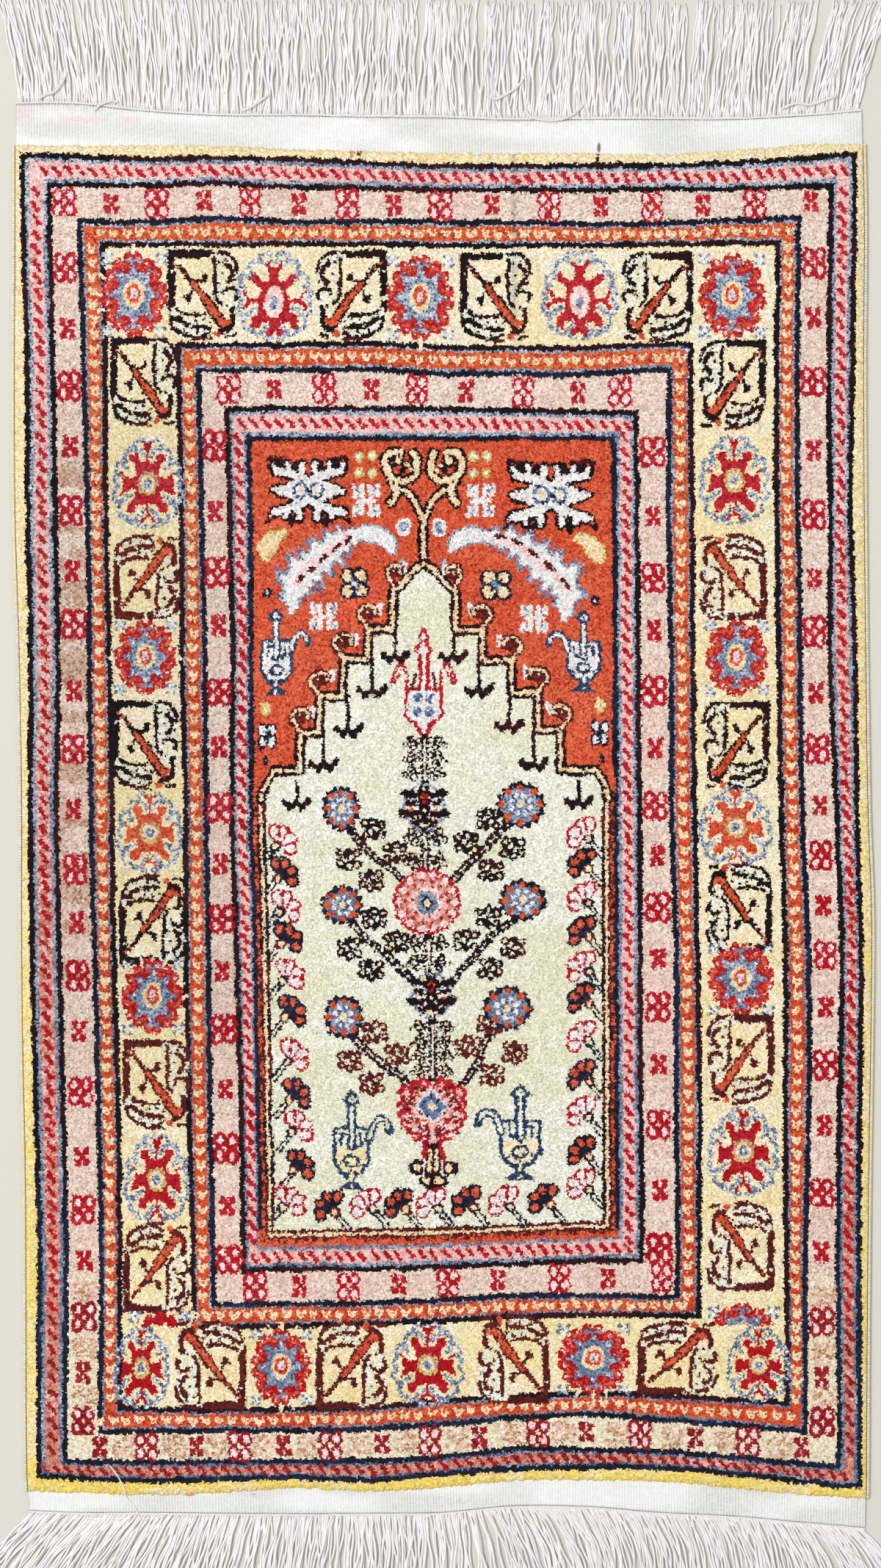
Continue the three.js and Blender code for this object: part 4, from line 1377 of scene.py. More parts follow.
def mesh_piece(name, points, faces, finish, tones, smooth, unwrapped):
    """A piece from points in metres and their faces; tones are one colour a face."""
    mesh = bpy.data.meshes.new(name)
    sizes = np.array([len(face) for face in faces])
    corners = np.concatenate(list(faces))
    mesh.vertices.add(len(points))
    mesh.vertices.foreach_set("co", np.asarray(points, np.float32).reshape(-1))
    mesh.loops.add(len(corners))
    mesh.loops.foreach_set("vertex_index", corners.astype(np.int32))
    mesh.polygons.add(len(sizes))
    starts = np.concatenate([[0], np.cumsum(sizes)[:-1]])
    mesh.polygons.foreach_set("loop_start", starts.astype(np.int32))
    mesh.polygons.foreach_set("use_smooth", np.full(len(sizes), smooth))
    mesh.update(calc_edges=True)
    per_corner = np.repeat(tones, sizes, axis=0)
    opaque = np.concatenate([per_corner, np.ones((len(per_corner), 1))], axis=1)
    layer = mesh.color_attributes.new("yarn", "BYTE_COLOR", "CORNER")
    layer.data.foreach_set("color_srgb", opaque.astype(np.float32).reshape(-1))
    flat = mesh.uv_layers.new(name="OFBake")
    flat.data.foreach_set("uv", np.asarray(unwrapped, np.float32)[corners].reshape(-1))
    mesh.materials.append(finish)
    piece = add_object(name, mesh)
    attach(piece, "root")
    return piece


def lattice_faces(rows, columns):
    """Four-sided faces between the points of a lattice that is listed row by row."""
    first = (np.arange(rows - 1)[:, None] * columns + np.arange(columns - 1)[None, :]).reshape(-1)
    return np.stack([first, first + 1, first + 1 + columns, first + columns], axis=1)


# The pile


def on_chart(places):
    return places[:, 0] * 2 + CHART_MIDDLE, CHART_ZERO - places[:, 1] * 2


def off_chart(places):
    return (places[:, 0] - CHART_MIDDLE) / 2, (CHART_ZERO - places[:, 1]) / 2


def pile_rim(inset, rim_top):
    """The pile's height at a distance in from its rim."""
    low = rim_top + (SHOULDER_TOP - rim_top) * inset / SHOULDER_INSET
    high = SHOULDER_TOP + (PILE_TOP - SHOULDER_TOP) * ramp(inset, SHOULDER_INSET, PILE_FLAT_FROM)
    return np.where(inset < SHOULDER_INSET, low, high)


def crease_depth(across, along):
    beside = np.clip(np.abs(across - CREASE["across"]) / CREASE["half_width"], 0, 1)
    level = CREASE["stop"] + 0.4 * (CREASE["start"] - CREASE["stop"])
    fade = ramp(along, CREASE["stop"], level)
    return CREASE["depth"] * fade * fade * (3 - 2 * fade) * np.cos(beside * math.pi / 2) ** 2


def pile_height(across, along):
    left, right = across - side("left", along), side("right", along) - across
    far, near = end("far_pile", across) - along, along - end("near_pile", across)
    rim = np.minimum(
        pile_rim(np.minimum(left, right), PILE_EDGE_TOP), pile_rim(np.minimum(far, near), FLATWEAVE_TOP)
    )
    inset = np.minimum(np.minimum(left, right), np.minimum(far, near))
    roll = PILE_ROLL * np.sin(across / ROLL_ACROSS) * np.sin(along / ROLL_ALONG)
    return rim + roll * np.clip(inset / PILE_FLAT_FROM - 1, 0, 1) - crease_depth(across, along)


TUFT_STRAY = 0.7  # how far a tuft may stand from its even place, as a share of their spacing
RIM_FRAY = 1.5


def pile_lattice(sizes):
    """Points across and along the pile, unevenly spaced as tufts are, with its rim kept to the cloth's.
    The outermost points lie on the ground weave, so that the rim has a side."""
    columns = round(PILE_WIDTH * MM / sizes.tuft) + 1
    rows = round(PILE_LENGTH * MM / sizes.tuft) + 1
    s, t = np.meshgrid(edged_steps(columns), edged_steps(rows))
    i, j = np.meshgrid(np.arange(columns + 2), np.arange(rows + 2))
    inner = (s > 0) & (s < 1) & (t > 0) & (t < 1)
    s = s + inner * TUFT_STRAY * (scatter(i, j, 51) - 0.5) / (columns - 1)
    t = t + inner * TUFT_STRAY * (scatter(i, j, 52) - 0.5) / (rows - 1)
    along = PILE_FAR - PILE_LENGTH * t
    for _ in range(2):
        across = side("left", along) * (1 - s) + side("right", along) * s
        along = end("far_pile", across) * (1 - t) + end("near_pile", across) * t
    height = pile_height(across, along) + sizes.tuft_rise / MM * (scatter(i, j, 53) - 0.5)
    for rim_rows, way in (((0, 1, 2), 1), ((-1, -2, -3), -1)):
        fray = RIM_FRAY * scatter(i[0], i[0] * 0 + way, 55) - 0.5
        along[rim_rows, :] += way * fray
    height[:, (0, -1)] = GROUND_TOP
    height[(0, -1), :] = GROUND_TOP
    return across, along, height


def edged_steps(count):
    """Even steps from 0 to 1, the first and the last of them twice."""
    return np.concatenate([[0], np.linspace(0, 1, count), [1]])


def leaning_tufts(top, bottom, left, right):
    """Two triangles for each cell of the lattice, split one way or the other."""
    quads = lattice_faces(bottom + 1 - top, right + 1 - left)
    i, j = np.meshgrid(np.arange(left, right), np.arange(top, bottom))
    leaning = (scatter(i, j, 54) < 0.5).reshape(-1, 1)
    a, b, c, d = quads[:, ::-1].T
    first = np.where(leaning, np.stack([a, b, c], 1), np.stack([a, b, d], 1))
    second = np.where(leaning, np.stack([a, c, d], 1), np.stack([b, c, d], 1))
    return np.concatenate([first, second])


def knot_pile(sizes, all_tones, finish):
    """The patterned pile, in panels, each tuft two triangles of one colour each."""
    across, along, height = pile_lattice(sizes)
    chart = woven_chart()
    row_cuts, column_cuts = (
        np.linspace(0, count - 1, panels + 1).round().astype(int)
        for count, panels in zip(across.shape, (sizes.panels_along, sizes.panels_across))
    )
    panels = []
    for top, bottom in zip(row_cuts, row_cuts[1:]):
        for left, right in zip(column_cuts, column_cuts[1:]):
            part = slice(top, bottom + 1), slice(left, right + 1)
            x, y, z = across[part], along[part], height[part]
            tufts = leaning_tufts(top, bottom, left, right)
            flat = np.stack([x.reshape(-1), y.reshape(-1)], axis=1)
            middle = flat[tufts].mean(1)
            tones = dyed_and_shaded(chart, *on_chart(middle), all_tones)
            spread = (flat - flat.min(0)) / (flat.max(0) - flat.min(0))
            name = f"pile_{len(panels) + 1}"
            points = in_frame(x, y, z).reshape(-1, 3)
            panels.append(mesh_piece(name, points, tufts, finish, tones, False, spread))
    return panels


# The ground weave, which shows as flat-woven ends


def ground_rows(sizes):
    """Lines across the ground weave: between which two of its ends' lines, how far on, and if it shows."""
    far_count, near_count = sizes.far_rows, sizes.near_rows
    far = [("far_edge", "far_pile", i / far_count, i > 0) for i in range(far_count + 1)]
    near = [("near_pile", "near_edge", i / near_count, i > 0) for i in range(near_count + 1)]
    middle = [("far_pile", "near_pile", share, False) for share in (0.01, 0.25, 0.5, 0.75, 0.99)]
    return far + middle + near


RIB_FOOT, RIB_RISE, RIB_UNEVEN = 1.0, 0.5, 0.12  # heights of the flat weave's ribs
HIDDEN_TONE = 0.8  # a grey for sides that don't show


def weave_ground(sizes, colours, finish):
    """One thin cloth from end to end, ribbed by its warps where no pile covers it, flat underneath."""
    ribs = round(PILE_WIDTH * MM / sizes.knot)
    columns = 3 * ribs + 1
    s = np.linspace(0, 1, columns)
    ridge = np.arange(columns) % 3 != 1
    lines = ground_rows(sizes)
    across, along, height = [], [], []
    for start, stop, share, shown in lines:
        y = np.full(columns, end(start, 0.0) * (1 - share) + end(stop, 0.0) * share)
        for _ in range(2):
            x = side("left", y) * (1 - s) + side("right", y) * s
            y = end(start, x) * (1 - share) + end(stop, x) * share
        across.append(x)
        along.append(y)
        lift = RIB_UNEVEN * scatter(np.arange(columns) / 3, np.full(columns, len(along)), 61)
        height.append(RIB_FOOT + RIB_RISE * ridge + lift if shown else np.full(columns, GROUND_TOP))
    across, along, height = np.array(across), np.array(along), np.array(height)
    rows = len(lines)
    upper = lattice_faces(rows, columns)[:, ::-1]
    grid = np.arange(rows * columns).reshape(rows, columns)
    rim = np.concatenate([grid[0, :-1], grid[:-1, -1], grid[-1, :0:-1], grid[:0:-1, 0]])
    below = rows * columns + np.arange(len(rim))
    walls = np.stack([rim, np.roll(rim, -1), np.roll(below, -1), below], axis=1)
    flat = np.stack([across.reshape(-1), along.reshape(-1)], axis=1)
    top = in_frame(across, along, height).reshape(-1, 3)
    floor = in_frame(*flat[rim].T, 0.0)
    middle = flat[upper].mean(1)
    in_gap = np.tile(np.arange(columns - 1) % 3 < 2, rows - 1)
    line = np.repeat(np.arange(rows - 1), columns - 1)
    tones = end_weave_tones(*on_chart(middle), in_gap, line, np.array(colours.flat_weave))
    tones = np.concatenate([tones, np.full((len(walls) + 1, 3), HIDDEN_TONE)])
    spread = (flat - flat.min(0)) / (flat.max(0) - flat.min(0)) * (1, 0.48)
    spread = np.concatenate([spread, spread[rim] + (0, 0.52)])
    faces = [*upper, *walls, below]
    points = np.concatenate([top, floor])
    ground = mesh_piece("ground_weave", points, faces, finish, tones, True, spread)
    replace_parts(ground, "rug")


STAINS = (  # small stains on the flat weaves: place on the chart, half sizes, tone
    (258, 2036, 7, 2.4, (0.86, 0.50, 0.44)),
    (345, 2036, 4, 2, (0.93, 0.68, 0.68)),
    (478, 208, 5, 3, (0.66, 0.52, 0.40)),
    (816, 200, 2.4, 7, (0.45, 0.28, 0.22)),
)
WEAVE_TONES = {
    "bleached": (0.96, 0.965, 0.965),
    "shade between ribs": (0.64, 0.66, 0.63),
    "pink stain": (0.97, 0.80, 0.84),
    "shade beside cord": (0.34, 0.33, 0.31),
}
PINK_PLACES = ((60, 130), (550, 170))  # middles and half widths of what is stained
PINK_FADES = (174, 162)  # down the chart, to none and from full


def end_weave_tones(x, y, in_gap, line, plain):
    """The flat weave's colours: pale ribs, a soft grey of painted shade between them and darker ticks of it
    beside the far cord, whiter and stained in places.
    """
    bleached = np.clip(2.4 * drift(x, y, 70, 22, 62) - 0.8, 0, 1)
    tones = toward(plain, WEAVE_TONES["bleached"], bleached)
    # Painted shade: a soft grey in random ticks in the gaps between ribs, fainter where bleached.
    grey = in_gap * (0.3 + 0.7 * scatter(x / 4, y / 1.7, 64)) * (1 - 0.75 * bleached)
    tones = toward(tones, WEAVE_TONES["shade between ribs"], 0.3 * grey)
    stained = np.clip(2.2 * drift(x, y, 30, 9, 63) + 1.2 * drift(x, y, 7, 5, 68) - 1.5, 0, 1)
    stained = stained * np.any([np.abs(x - middle) < reach for middle, reach in PINK_PLACES], axis=0)
    tones = toward(tones, WEAVE_TONES["pink stain"], 0.45 * (stained * ramp(y, *PINK_FADES)))
    # Painted shade: dark ticks in the gaps beside the far cord.
    shade_beside_cord = in_gap * (line == 0) * (scatter(x / 4.2, y * 0, 67) < 0.8)
    tones = toward(tones, WEAVE_TONES["shade beside cord"], 0.2 * shade_beside_cord)
    for place_x, place_y, half_x, half_y, tone in STAINS:
        deep = np.clip(1.4 - ((x - place_x) / half_x) ** 2 - ((y - place_y) / half_y) ** 2, 0, 1)
        tones = toward(tones, tone, 0.8 * deep)
    return tones * (1 - 0.04 * scatter(x / 2, y / 2, 65))[:, None]


# Yarns laid as round strands


def sides_of(path):
    """Unit steps beside and above a path, at each of its points."""
    ahead = np.gradient(path, axis=0)
    ahead /= np.linalg.norm(ahead, axis=1)[:, None]
    beside = np.cross(ahead, (0, 0, 1))
    beside /= np.linalg.norm(beside, axis=1)[:, None]
    return beside, np.cross(beside, ahead)


def tube(path, radius, sides, flat=1.0):
    """Points and faces of a closed strand along a path in millimetres; radius may vary along it."""
    radius = np.broadcast_to(radius, len(path))
    beside, above = sides_of(path)
    turns = -math.pi / 2 + np.arange(sides) * math.tau / sides
    c, s = np.cos(turns)[None, :, None], flat * np.sin(turns)[None, :, None]
    around = c * beside[:, None] + s * above[:, None]
    rings = path[:, None] + radius[:, None, None] * around
    count = len(path)
    ring, step = np.meshgrid(np.arange(count - 1), np.arange(sides), indexing="ij")
    a = (ring * sides + step).reshape(-1)
    b = (ring * sides + (step + 1) % sides).reshape(-1)
    quads = np.stack([a, b, b + sides, a + sides], axis=1)
    first, last = np.arange(sides)[::-1], (count - 1) * sides + np.arange(sides)
    return rings.reshape(-1, 3), quads, (first, last)


CUT_TONE = 0.85  # a grey for the cut ends of yarns


class Skein:
    """Gathers many strands into one piece."""

    def __init__(self):
        self.points, self.quads, self.caps, self.tones, self.spread = [], [], [], [], []
        self.count = 0

    def add(self, path, radius, sides, tone, flat=1.0):
        points, quads, caps = tube(path, radius, sides, flat)
        self.points.append(points)
        self.quads.append(quads + self.count)
        self.caps += [cap + self.count for cap in caps]
        rings = len(points) // sides
        shade = np.repeat(np.broadcast_to(tone, (rings, 3))[:-1], sides, axis=0)
        self.tones.append(shade)
        column = (np.arange(sides) + 0.5) / sides
        self.spread.append((np.tile(column, rings), np.repeat(np.linspace(0, 1, rings), sides)))
        self.count += len(points)

    def piece(self, name, finish, slot):
        points = np.concatenate(self.points)
        across = points[:, 0] * MM + SHIFT_X
        along = points[:, 1] * MM + SHIFT_Y
        placed = np.stack([across, along, points[:, 2] * MM], axis=1)
        strands = len(self.spread)
        spread = [np.stack([(n + u) / strands, v], 1) for n, (u, v) in enumerate(self.spread)]
        faces = list(np.concatenate(self.quads)) + self.caps
        tones = np.concatenate(self.tones + [np.full((len(self.caps), 3), CUT_TONE)])
        return mesh_piece(name, placed, faces, finish, tones, True, np.concatenate(spread))


SIDE_CORD_ENDS = 287  # how far across the side cords' ends lie
WARM_WRAPPING = (0.96, 0.88, 0.66)  # the tone of the cord's yellowed stretches


def wrap_side(where, sizes, colours, finish):
    """The overcast side cord: yarn wrapped round and round the outer warps."""
    out = -1 if where == "left" else 1
    near, far = (end(name, out * SIDE_CORD_ENDS) for name in ("near_pile", "far_pile"))
    turns = round((far - near) / (sizes.wrap / MM))
    along = np.linspace(far, near, 3 * turns + 1)
    middle = side(where, along) + out * (CORD_GAP + SIDE_CORD_WIDTH / 2)
    crown = np.arange(len(along)) % 3 == 1
    swell = np.where(crown, 1.0, 0.84) * (1 - 0.07 * scatter(along / 3, along * 0, 71))
    tone = np.array(colours.side_cord) * (1 - 0.10 * scatter(along / 1.8, along * 0, 72))[:, None]
    # Painted shade: the yarn is darker between the crowns of its turns, in the grooves.
    tone = tone * np.where(crown, 1.0, 0.88)[:, None]
    tone = toward(tone, WARM_WRAPPING, 0.6 * np.clip(2 * drift(along, along * 0, 90, 1, 73) - 0.9, 0, 1))
    skein = Skein()
    path = np.stack([middle, along, np.full(len(along), SIDE_CORD_TOP / 2)], axis=1)
    skein.add(path, SIDE_CORD_WIDTH / 2 * swell, 8, tone, SIDE_CORD_TOP / SIDE_CORD_WIDTH)
    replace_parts(skein.piece(f"side_cord_{where}", finish, "side_cord"), f"selvedge_{where}")


def twined(skein, path, radius, pitch, tone):
    """Two plies twisted round each other along a path."""
    beside, above = sides_of(path)
    run = np.concatenate([[0], np.cumsum(np.linalg.norm(np.diff(path, axis=0), axis=1))])
    for ply in range(2):
        turn = math.tau * (run / pitch + ply / 2)
        off = radius * (np.cos(turn)[:, None] * beside + np.sin(turn)[:, None] * above)
        skein.add(path + off, radius, 5, tone)


# The fringe: how it is combed, each strand's angle from straight out at its root and at its tip

STRAND_LENGTH = 82
STRAND_ROOT = 0.9  # how far its root lies inside the end cord
STRAND_BED, STRAND_RISE = 0.85, 1.9  # the height of its middle where it lies, and at most above that
LEAN, LOCK_LEAN, SWAY, CRIMP = 15, 9, 12, 7  # how far a strand's angle strays, in degrees
END_MARGIN = 2.2
CORNERS = {"left": -285.0, "right": 289.0}  # how far across the cloth's corners lie, about
FAR_COMB = {
    "across": (-290, -150, 0, 150, 250, 290),
    "root": (-6, 0, 0, 2, 6, 14),
    "tip": (-16, -4, 3, 5, 14, 32),
}
NEAR_COMB = {
    "across": (-290, -200, -150, -50, 0, 50, 100, 200, 250, 290),
    "root": (-50, -36, -20, 0, 8, 30, 34, 30, 38, 48),
    "tip": (-24, -24, -12, -8, -6, 8, -12, -20, 2, 30),
}
FRINGES = {
    "far": ("far_edge", FAR_COMB, 1, "fringe_top"),
    "near": ("near_edge", NEAR_COMB, -1, "fringe_bottom"),
}


def strand_path(number, across, edge, comb, out, steps):
    """One strand's line over the floor: combed, a little wavy, lying over and under its neighbours."""
    start = end(edge, across) + out * (CORD_GAP + END_CORD_WIDTH - STRAND_ROOT)
    t = np.linspace(0, 1, steps + 1)
    root, tip = (through(comb["across"], comb[name], across) for name in ("root", "tip"))
    lean = LEAN * (scatter(number, 1, 81) - 0.5) + LOCK_LEAN * (drift(number, 0, 12, 1, 82) - 0.5)
    sway = SWAY * (scatter(number, 2, 81) - 0.3)
    angle = root + (tip - root) * t + lean * (1 - 0.8 * t)
    angle = angle + sway * np.sin(6.28 * scatter(number, 3, 81) + 4.5 * t)
    crimps = 11 + 8 * scatter(number, 12, 81)
    angle = angle + CRIMP * np.sin(6.28 * scatter(number, 4, 81) + crimps * t)
    angle = np.radians(angle)
    step = STRAND_LENGTH * (1 - 0.07 * scatter(number, 5, 81)) / steps
    x = across + np.concatenate([[0], np.cumsum(step * np.sin(angle[:-1]))])
    y = start + out * np.concatenate([[0], np.cumsum(step * np.cos(angle[:-1]))])
    rise = STRAND_RISE * scatter(number, 6, 81) * np.sin(math.pi * np.clip(t * 1.15, 0, 1)) ** 2
    return np.stack([x, y, STRAND_BED + rise], axis=1)


def end_reach(edge):
    """How far across one end of the cloth reaches, left and right."""
    return (side(where, end(edge, across)) for where, across in CORNERS.items())


def lay_fringe(where, sizes, colours, finish):
    """The long warp ends, two from each root, each its own strand."""
    edge, comb, out, node = FRINGES[where]
    left, right = end_reach(edge)
    skein = Skein()
    roots = np.linspace(left + END_MARGIN, right - END_MARGIN, sizes.strands // 2)
    for number, across in enumerate(np.repeat(roots, 2)):
        across += 0.35 * (-1) ** number + 0.9 * (scatter(number, 7, 81) - 0.5)
        path = strand_path(number, across, edge, comb, out, sizes.strand_steps)
        shade = 0.96 + 0.04 * scatter(number, 8, 81)
        tint = np.array(colours.fringe) - 0.06 * scatter(number, 9, 81) ** 2 * np.array((0, 0.4, 1.0))
        radius = sizes.strand / MM / math.sqrt(3) * (0.9 + 0.2 * scatter(number, 10, 81))
        thin = radius * (1 - 0.3 * np.linspace(0, 1, len(path)) ** 4)
        skein.add(path, thin, 3, tint * shade)
    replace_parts(skein.piece(f"fringe_{where}", finish, "warp_yarn"), node)


LOOSE_TAILS = (  # ends of the twining, unpicked and lying over the fringe: places on the chart
    ((52, 134), (62, 128), (74, 124), (84, 112), (90, 98)),
    ((128, 150), (136, 142), (150, 137), (160, 138)),
    ((328, 150), (340, 146), (352, 138), (366, 128)),
    ((664, 130), (676, 134), (690, 127), (704, 118), (716, 102)),
    ((716, 148), (722, 158), (742, 163), (764, 162), (782, 154), (794, 142)),
    ((1064, 148), (1084, 140), (1104, 142), (1122, 136), (1140, 130)),
)


PLY, PLY_PITCH, PLY_STEP = 0.48, 4.3, 0.6  # the end cord's plies: radius, pitch, and length of a step
TAIL_PLY, TAIL_PITCH, TAIL_LIES = 0.58, 4.2, 2.6


def twine_end(where, colours, finish):
    """The twined cord that locks the warp ends, and its loose tails."""
    edge, _, out, node = FRINGES[where]
    skein = Skein()
    left, right = end_reach(edge)
    across = np.linspace(left, right, round((right - left) / PLY_STEP))
    along = end(edge, across) + out * (CORD_GAP + END_CORD_WIDTH / 2)
    along = along + out * 0.35 * (drift(across, across * 0, 9, 1, 91) - 0.5)
    path = np.stack([across, along, np.full(len(across), END_CORD_TOP / 2)], axis=1)
    tone = np.array(colours.end_cord)
    twined(skein, path, PLY, PLY_PITCH, tone)
    for tail in LOOSE_TAILS if where == "far" else ():
        x, y = off_chart(bend(tail, 8))
        rise = TAIL_LIES + 0.8 * np.sin(np.linspace(0, math.pi, len(x)))
        twined(skein, np.stack([x, y, rise], axis=1), TAIL_PLY, TAIL_PITCH, 0.96 * tone)
    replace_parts(skein.piece(f"end_cord_{where}", finish, "warp_yarn"), node)


LOOSE_THREAD = ((150, 1996), (158, 2006), (168, 2024), (172, 2040), (182, 2052), (190, 2066))
THREAD, THREAD_LIES = 0.4, 0.5  # its radius, and how high it lies over what is under it


def drop_thread(colours, finish):
    """A loose white thread over the near left edge."""
    x, y = off_chart(bend(LOOSE_THREAD, 6))
    on_pile = pile_height(x, y) * (y > end("near_pile", x))
    z = np.maximum(on_pile, FLATWEAVE_TOP) + THREAD_LIES
    z = np.convolve(np.pad(z, 2, mode="edge"), np.full(5, 0.2), mode="valid")
    skein = Skein()
    skein.add(np.stack([x, y, z + THREAD / 2], axis=1), THREAD, 6, np.array(colours.loose_thread))
    skein.piece("loose_thread", finish, "warp_yarn")


# Finishes


class Value:
    """A number or colour in a finish's nodes. Python's operators add the Math nodes."""

    def __init__(self, finish, socket):
        self.finish = finish
        self.socket = socket

    def _math(self, operation, first, second):
        made = self.finish.node("ShaderNodeMath", {"operation": operation}, {0: first, 1: second})
        return made("Value")

    def __add__(self, other):
        return self._math("ADD", self, other)

    def __mul__(self, other):
        return self._math("MULTIPLY", self, other)

    __radd__ = __add__
    __rmul__ = __mul__


class Finish:
    """A named finish built on one principled shader."""

    def __init__(self, name, **steady):
        self.material = bpy.data.materials.new(name)
        self.material.use_nodes = True
        self.tree = self.material.node_tree
        self.shader = self.tree.nodes["Principled BSDF"]
        for socket, value in steady.items():
            self.shader.inputs[socket.replace("_", " ")].default_value = value

    def node(self, kind, settings=(), inputs=()):
        """Adds a node: its settings, then the values or links of its sockets. Gives its outputs by name."""
        made = self.tree.nodes.new(kind)
        for name, value in dict(settings).items():
            setattr(made, name, value)
        for key, value in dict(inputs).items():
            self.set(made.inputs[key], value)
        return lambda output: Value(self, made.outputs[output])

    def set(self, socket, value):
        if isinstance(value, Value):
            self.tree.links.new(value.socket, socket)
        else:
            socket.default_value = value

    def feed(self, **changing):
        for socket, value in changing.items():
            self.set(self.shader.inputs[socket.replace("_", " ")], value)

    def noise(self, scale, stretch, detail):
        """Noise over the object's places, stretched."""
        places = self.node("ShaderNodeTexCoord")("Object")
        mapping = self.node("ShaderNodeMapping", {}, {"Vector": places, "Scale": stretch})
        inputs = {"Vector": mapping("Vector"), "Scale": scale, "Detail": detail, "Roughness": 0.6}
        return self.node("ShaderNodeTexNoise", {}, inputs)("Fac")

    def dyed_and_shaded(self, factor):
        """The yarn's own colour, made lighter or darker by a factor."""
        yarn = self.node("ShaderNodeVertexColor", {"layer_name": "yarn"})("Color")
        channels = dict.fromkeys(("Red", "Green", "Blue"), factor)
        grey = self.node("ShaderNodeCombineColor", {}, channels)("Color")
        settings = {"data_type": "RGBA", "blend_type": "MULTIPLY"}
        return self.node("ShaderNodeMix", settings, {0: 1.0, 6: yarn, 7: grey})(2)

    def bumped(self, height, strength, depth):
        inputs = {"Height": height, "Strength": strength, "Distance": depth}
        return self.node("ShaderNodeBump", {}, inputs)("Normal")


def silk_pile():
    """Cut silk: fine-grained tuft ends, streaked across where the rows open, with a soft sheen. The same
    fine noise and streaks also lighten and darken its colour, as painted sheen and painted shade between
    tufts and rows.
    """
    finish = Finish("silk_pile", Sheen_Weight=0.03, Sheen_Roughness=0.3, Specular_IOR_Level=0.12)
    grain_and_shade = finish.noise(760, (1, 0.85, 1), 3)
    row = finish.noise(240, (1, 4.6, 1), 2)
    finish.feed(
        # Painted sheen and shade: the fine noise and the row streaks lighten and darken the yarn's colour,
        # as well as bumping its surface.
        Base_Color=finish.dyed_and_shaded(0.12 + 1.2 * grain_and_shade + 0.56 * row),
        Roughness=0.5 + 0.25 * grain_and_shade,
        Normal=finish.bumped(grain_and_shade + row * 0.7, 0.9, 0.001),
    )
    return finish.material


def spun(name, sheen, specular, scale, stretch, brightness, roughness):
    """Matte spun yarn, fine fibres along it. Brightness and roughness: a least value and a spread."""
    finish = Finish(name, Sheen_Weight=sheen, Specular_IOR_Level=specular)
    fibre = finish.noise(scale, stretch, 2)
    finish.feed(
        Base_Color=finish.dyed_and_shaded(brightness[0] + brightness[1] * fibre),
        Roughness=roughness[0] + roughness[1] * fibre,
        Normal=finish.bumped(fibre, 0.4, 0.0002),
    )
    return finish.material


def spun_warp():
    return spun("spun_warp", 0.12, 0.3, 1500, (1, 0.35, 1), (0.93, 0.14), (0.6, 0.2))


def wrapping_yarn():
    return spun("wrapping_yarn", 0.15, 0.25, 1300, (0.4, 1, 1), (0.84, 0.26), (0.62, 0.18))


FINISHES = {"silk_pile": silk_pile, "spun_warp": spun_warp, "wrapping_yarn": wrapping_yarn}


def finish_named(name):
    return bpy.data.materials.get(name) or FINISHES[name]()


# The stage


FLOOR_DROP = 0.0002  # so that the pieces lie just over it
KEY_PLACE, KEY_SIZE = (-2.4, 1.2, 5.4), 2.0


def lay_floor(stage):
    """A plain pale floor."""
    mesh = bpy.data.meshes.new("floor")
    half = stage.floor_size / 2
    corners = [(-half, -half, 0), (half, -half, 0), (half, half, 0), (-half, half, 0)]
    mesh.from_pydata(corners, [], [(0, 1, 2, 3)])
    colour = (*stage.floor_colour, 1)
    finish = Finish("studio_floor", Base_Color=colour, Roughness=0.75, Specular_IOR_Level=0.2)
    mesh.materials.append(finish.material)
    floor = add_object("floor", mesh)
    floor.location.z = -FLOOR_DROP
    floor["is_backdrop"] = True


def hang_key_light(stage):
    """One broad lamp to the far left, turned to the rug."""
    data = bpy.data.lights.new("key", "AREA")
    data.shape = "DISK"
    data.size = KEY_SIZE
    data.energy = stage.key_light
    light = add_object("key", data)
    light.location = KEY_PLACE
    light.rotation_euler = (-light.location.normalized()).to_track_quat("-Z", "Y").to_euler()


def set_camera(stage):
    """Straight above, framed as the chart is."""
    data = bpy.data.cameras.new("overhead")
    data.sensor_width = 36
    wide, high = CHART_SIZE
    data.lens = data.sensor_width * (stage.camera_height - PILE_TOP * MM) / (high * QUARTER)
    data.clip_end = 20
    camera = add_object("overhead", data)
    centre = in_frame((wide / 2 - CHART_MIDDLE) / 2, (CHART_ZERO - high / 2) / 2, 0)
    camera.location = (centre[0], centre[1], stage.camera_height)
    bpy.context.scene.camera = camera


def set_world(stage):
    world = bpy.data.worlds.new("soft_room")
    world.use_nodes = True
    background = world.node_tree.nodes["Background"]
    background.inputs["Color"].default_value = (1, 1, 1, 1)
    background.inputs["Strength"].default_value = stage.room_light
    bpy.context.scene.world = world
    bpy.context.scene.view_settings.view_transform = "Standard"


# What a user may change


class RugSizes(bpy.types.PropertyGroup):
    knot: FloatProperty(name="Knot", description="Width of one knot", default=2 * MM, unit="LENGTH")
    tuft: FloatProperty(name="Tuft", description="Spacing of tufts", default=1.27 * MM, unit="LENGTH")
    tuft_rise: FloatProperty(
        name="Tuft rise", description="How unevenly the tufts are cut", default=0.5 * MM, unit="LENGTH"
    )
    panels_across: IntProperty(name="Panels across", description="Pile panels across", default=2, min=1)
    panels_along: IntProperty(name="Panels along", description="Pile panels along", default=3, min=1)
    far_rows: IntProperty(name="Far rows", description="Steps down the far flat weave", default=30, min=2)
    near_rows: IntProperty(name="Near rows", description="Steps down the near flat weave", default=14, min=2)
    wrap: FloatProperty(name="Wrap", description="Side cords' pitch", default=1.9 * MM, unit="LENGTH")
    strands: IntProperty(name="Strands", description="Warp strands at each end", default=524, min=10)
    strand: FloatProperty(name="Strand", description="Its thickness", default=1.5 * MM, unit="LENGTH")
    strand_steps: IntProperty(name="Strand steps", description="Steps along a strand", default=20, min=4)


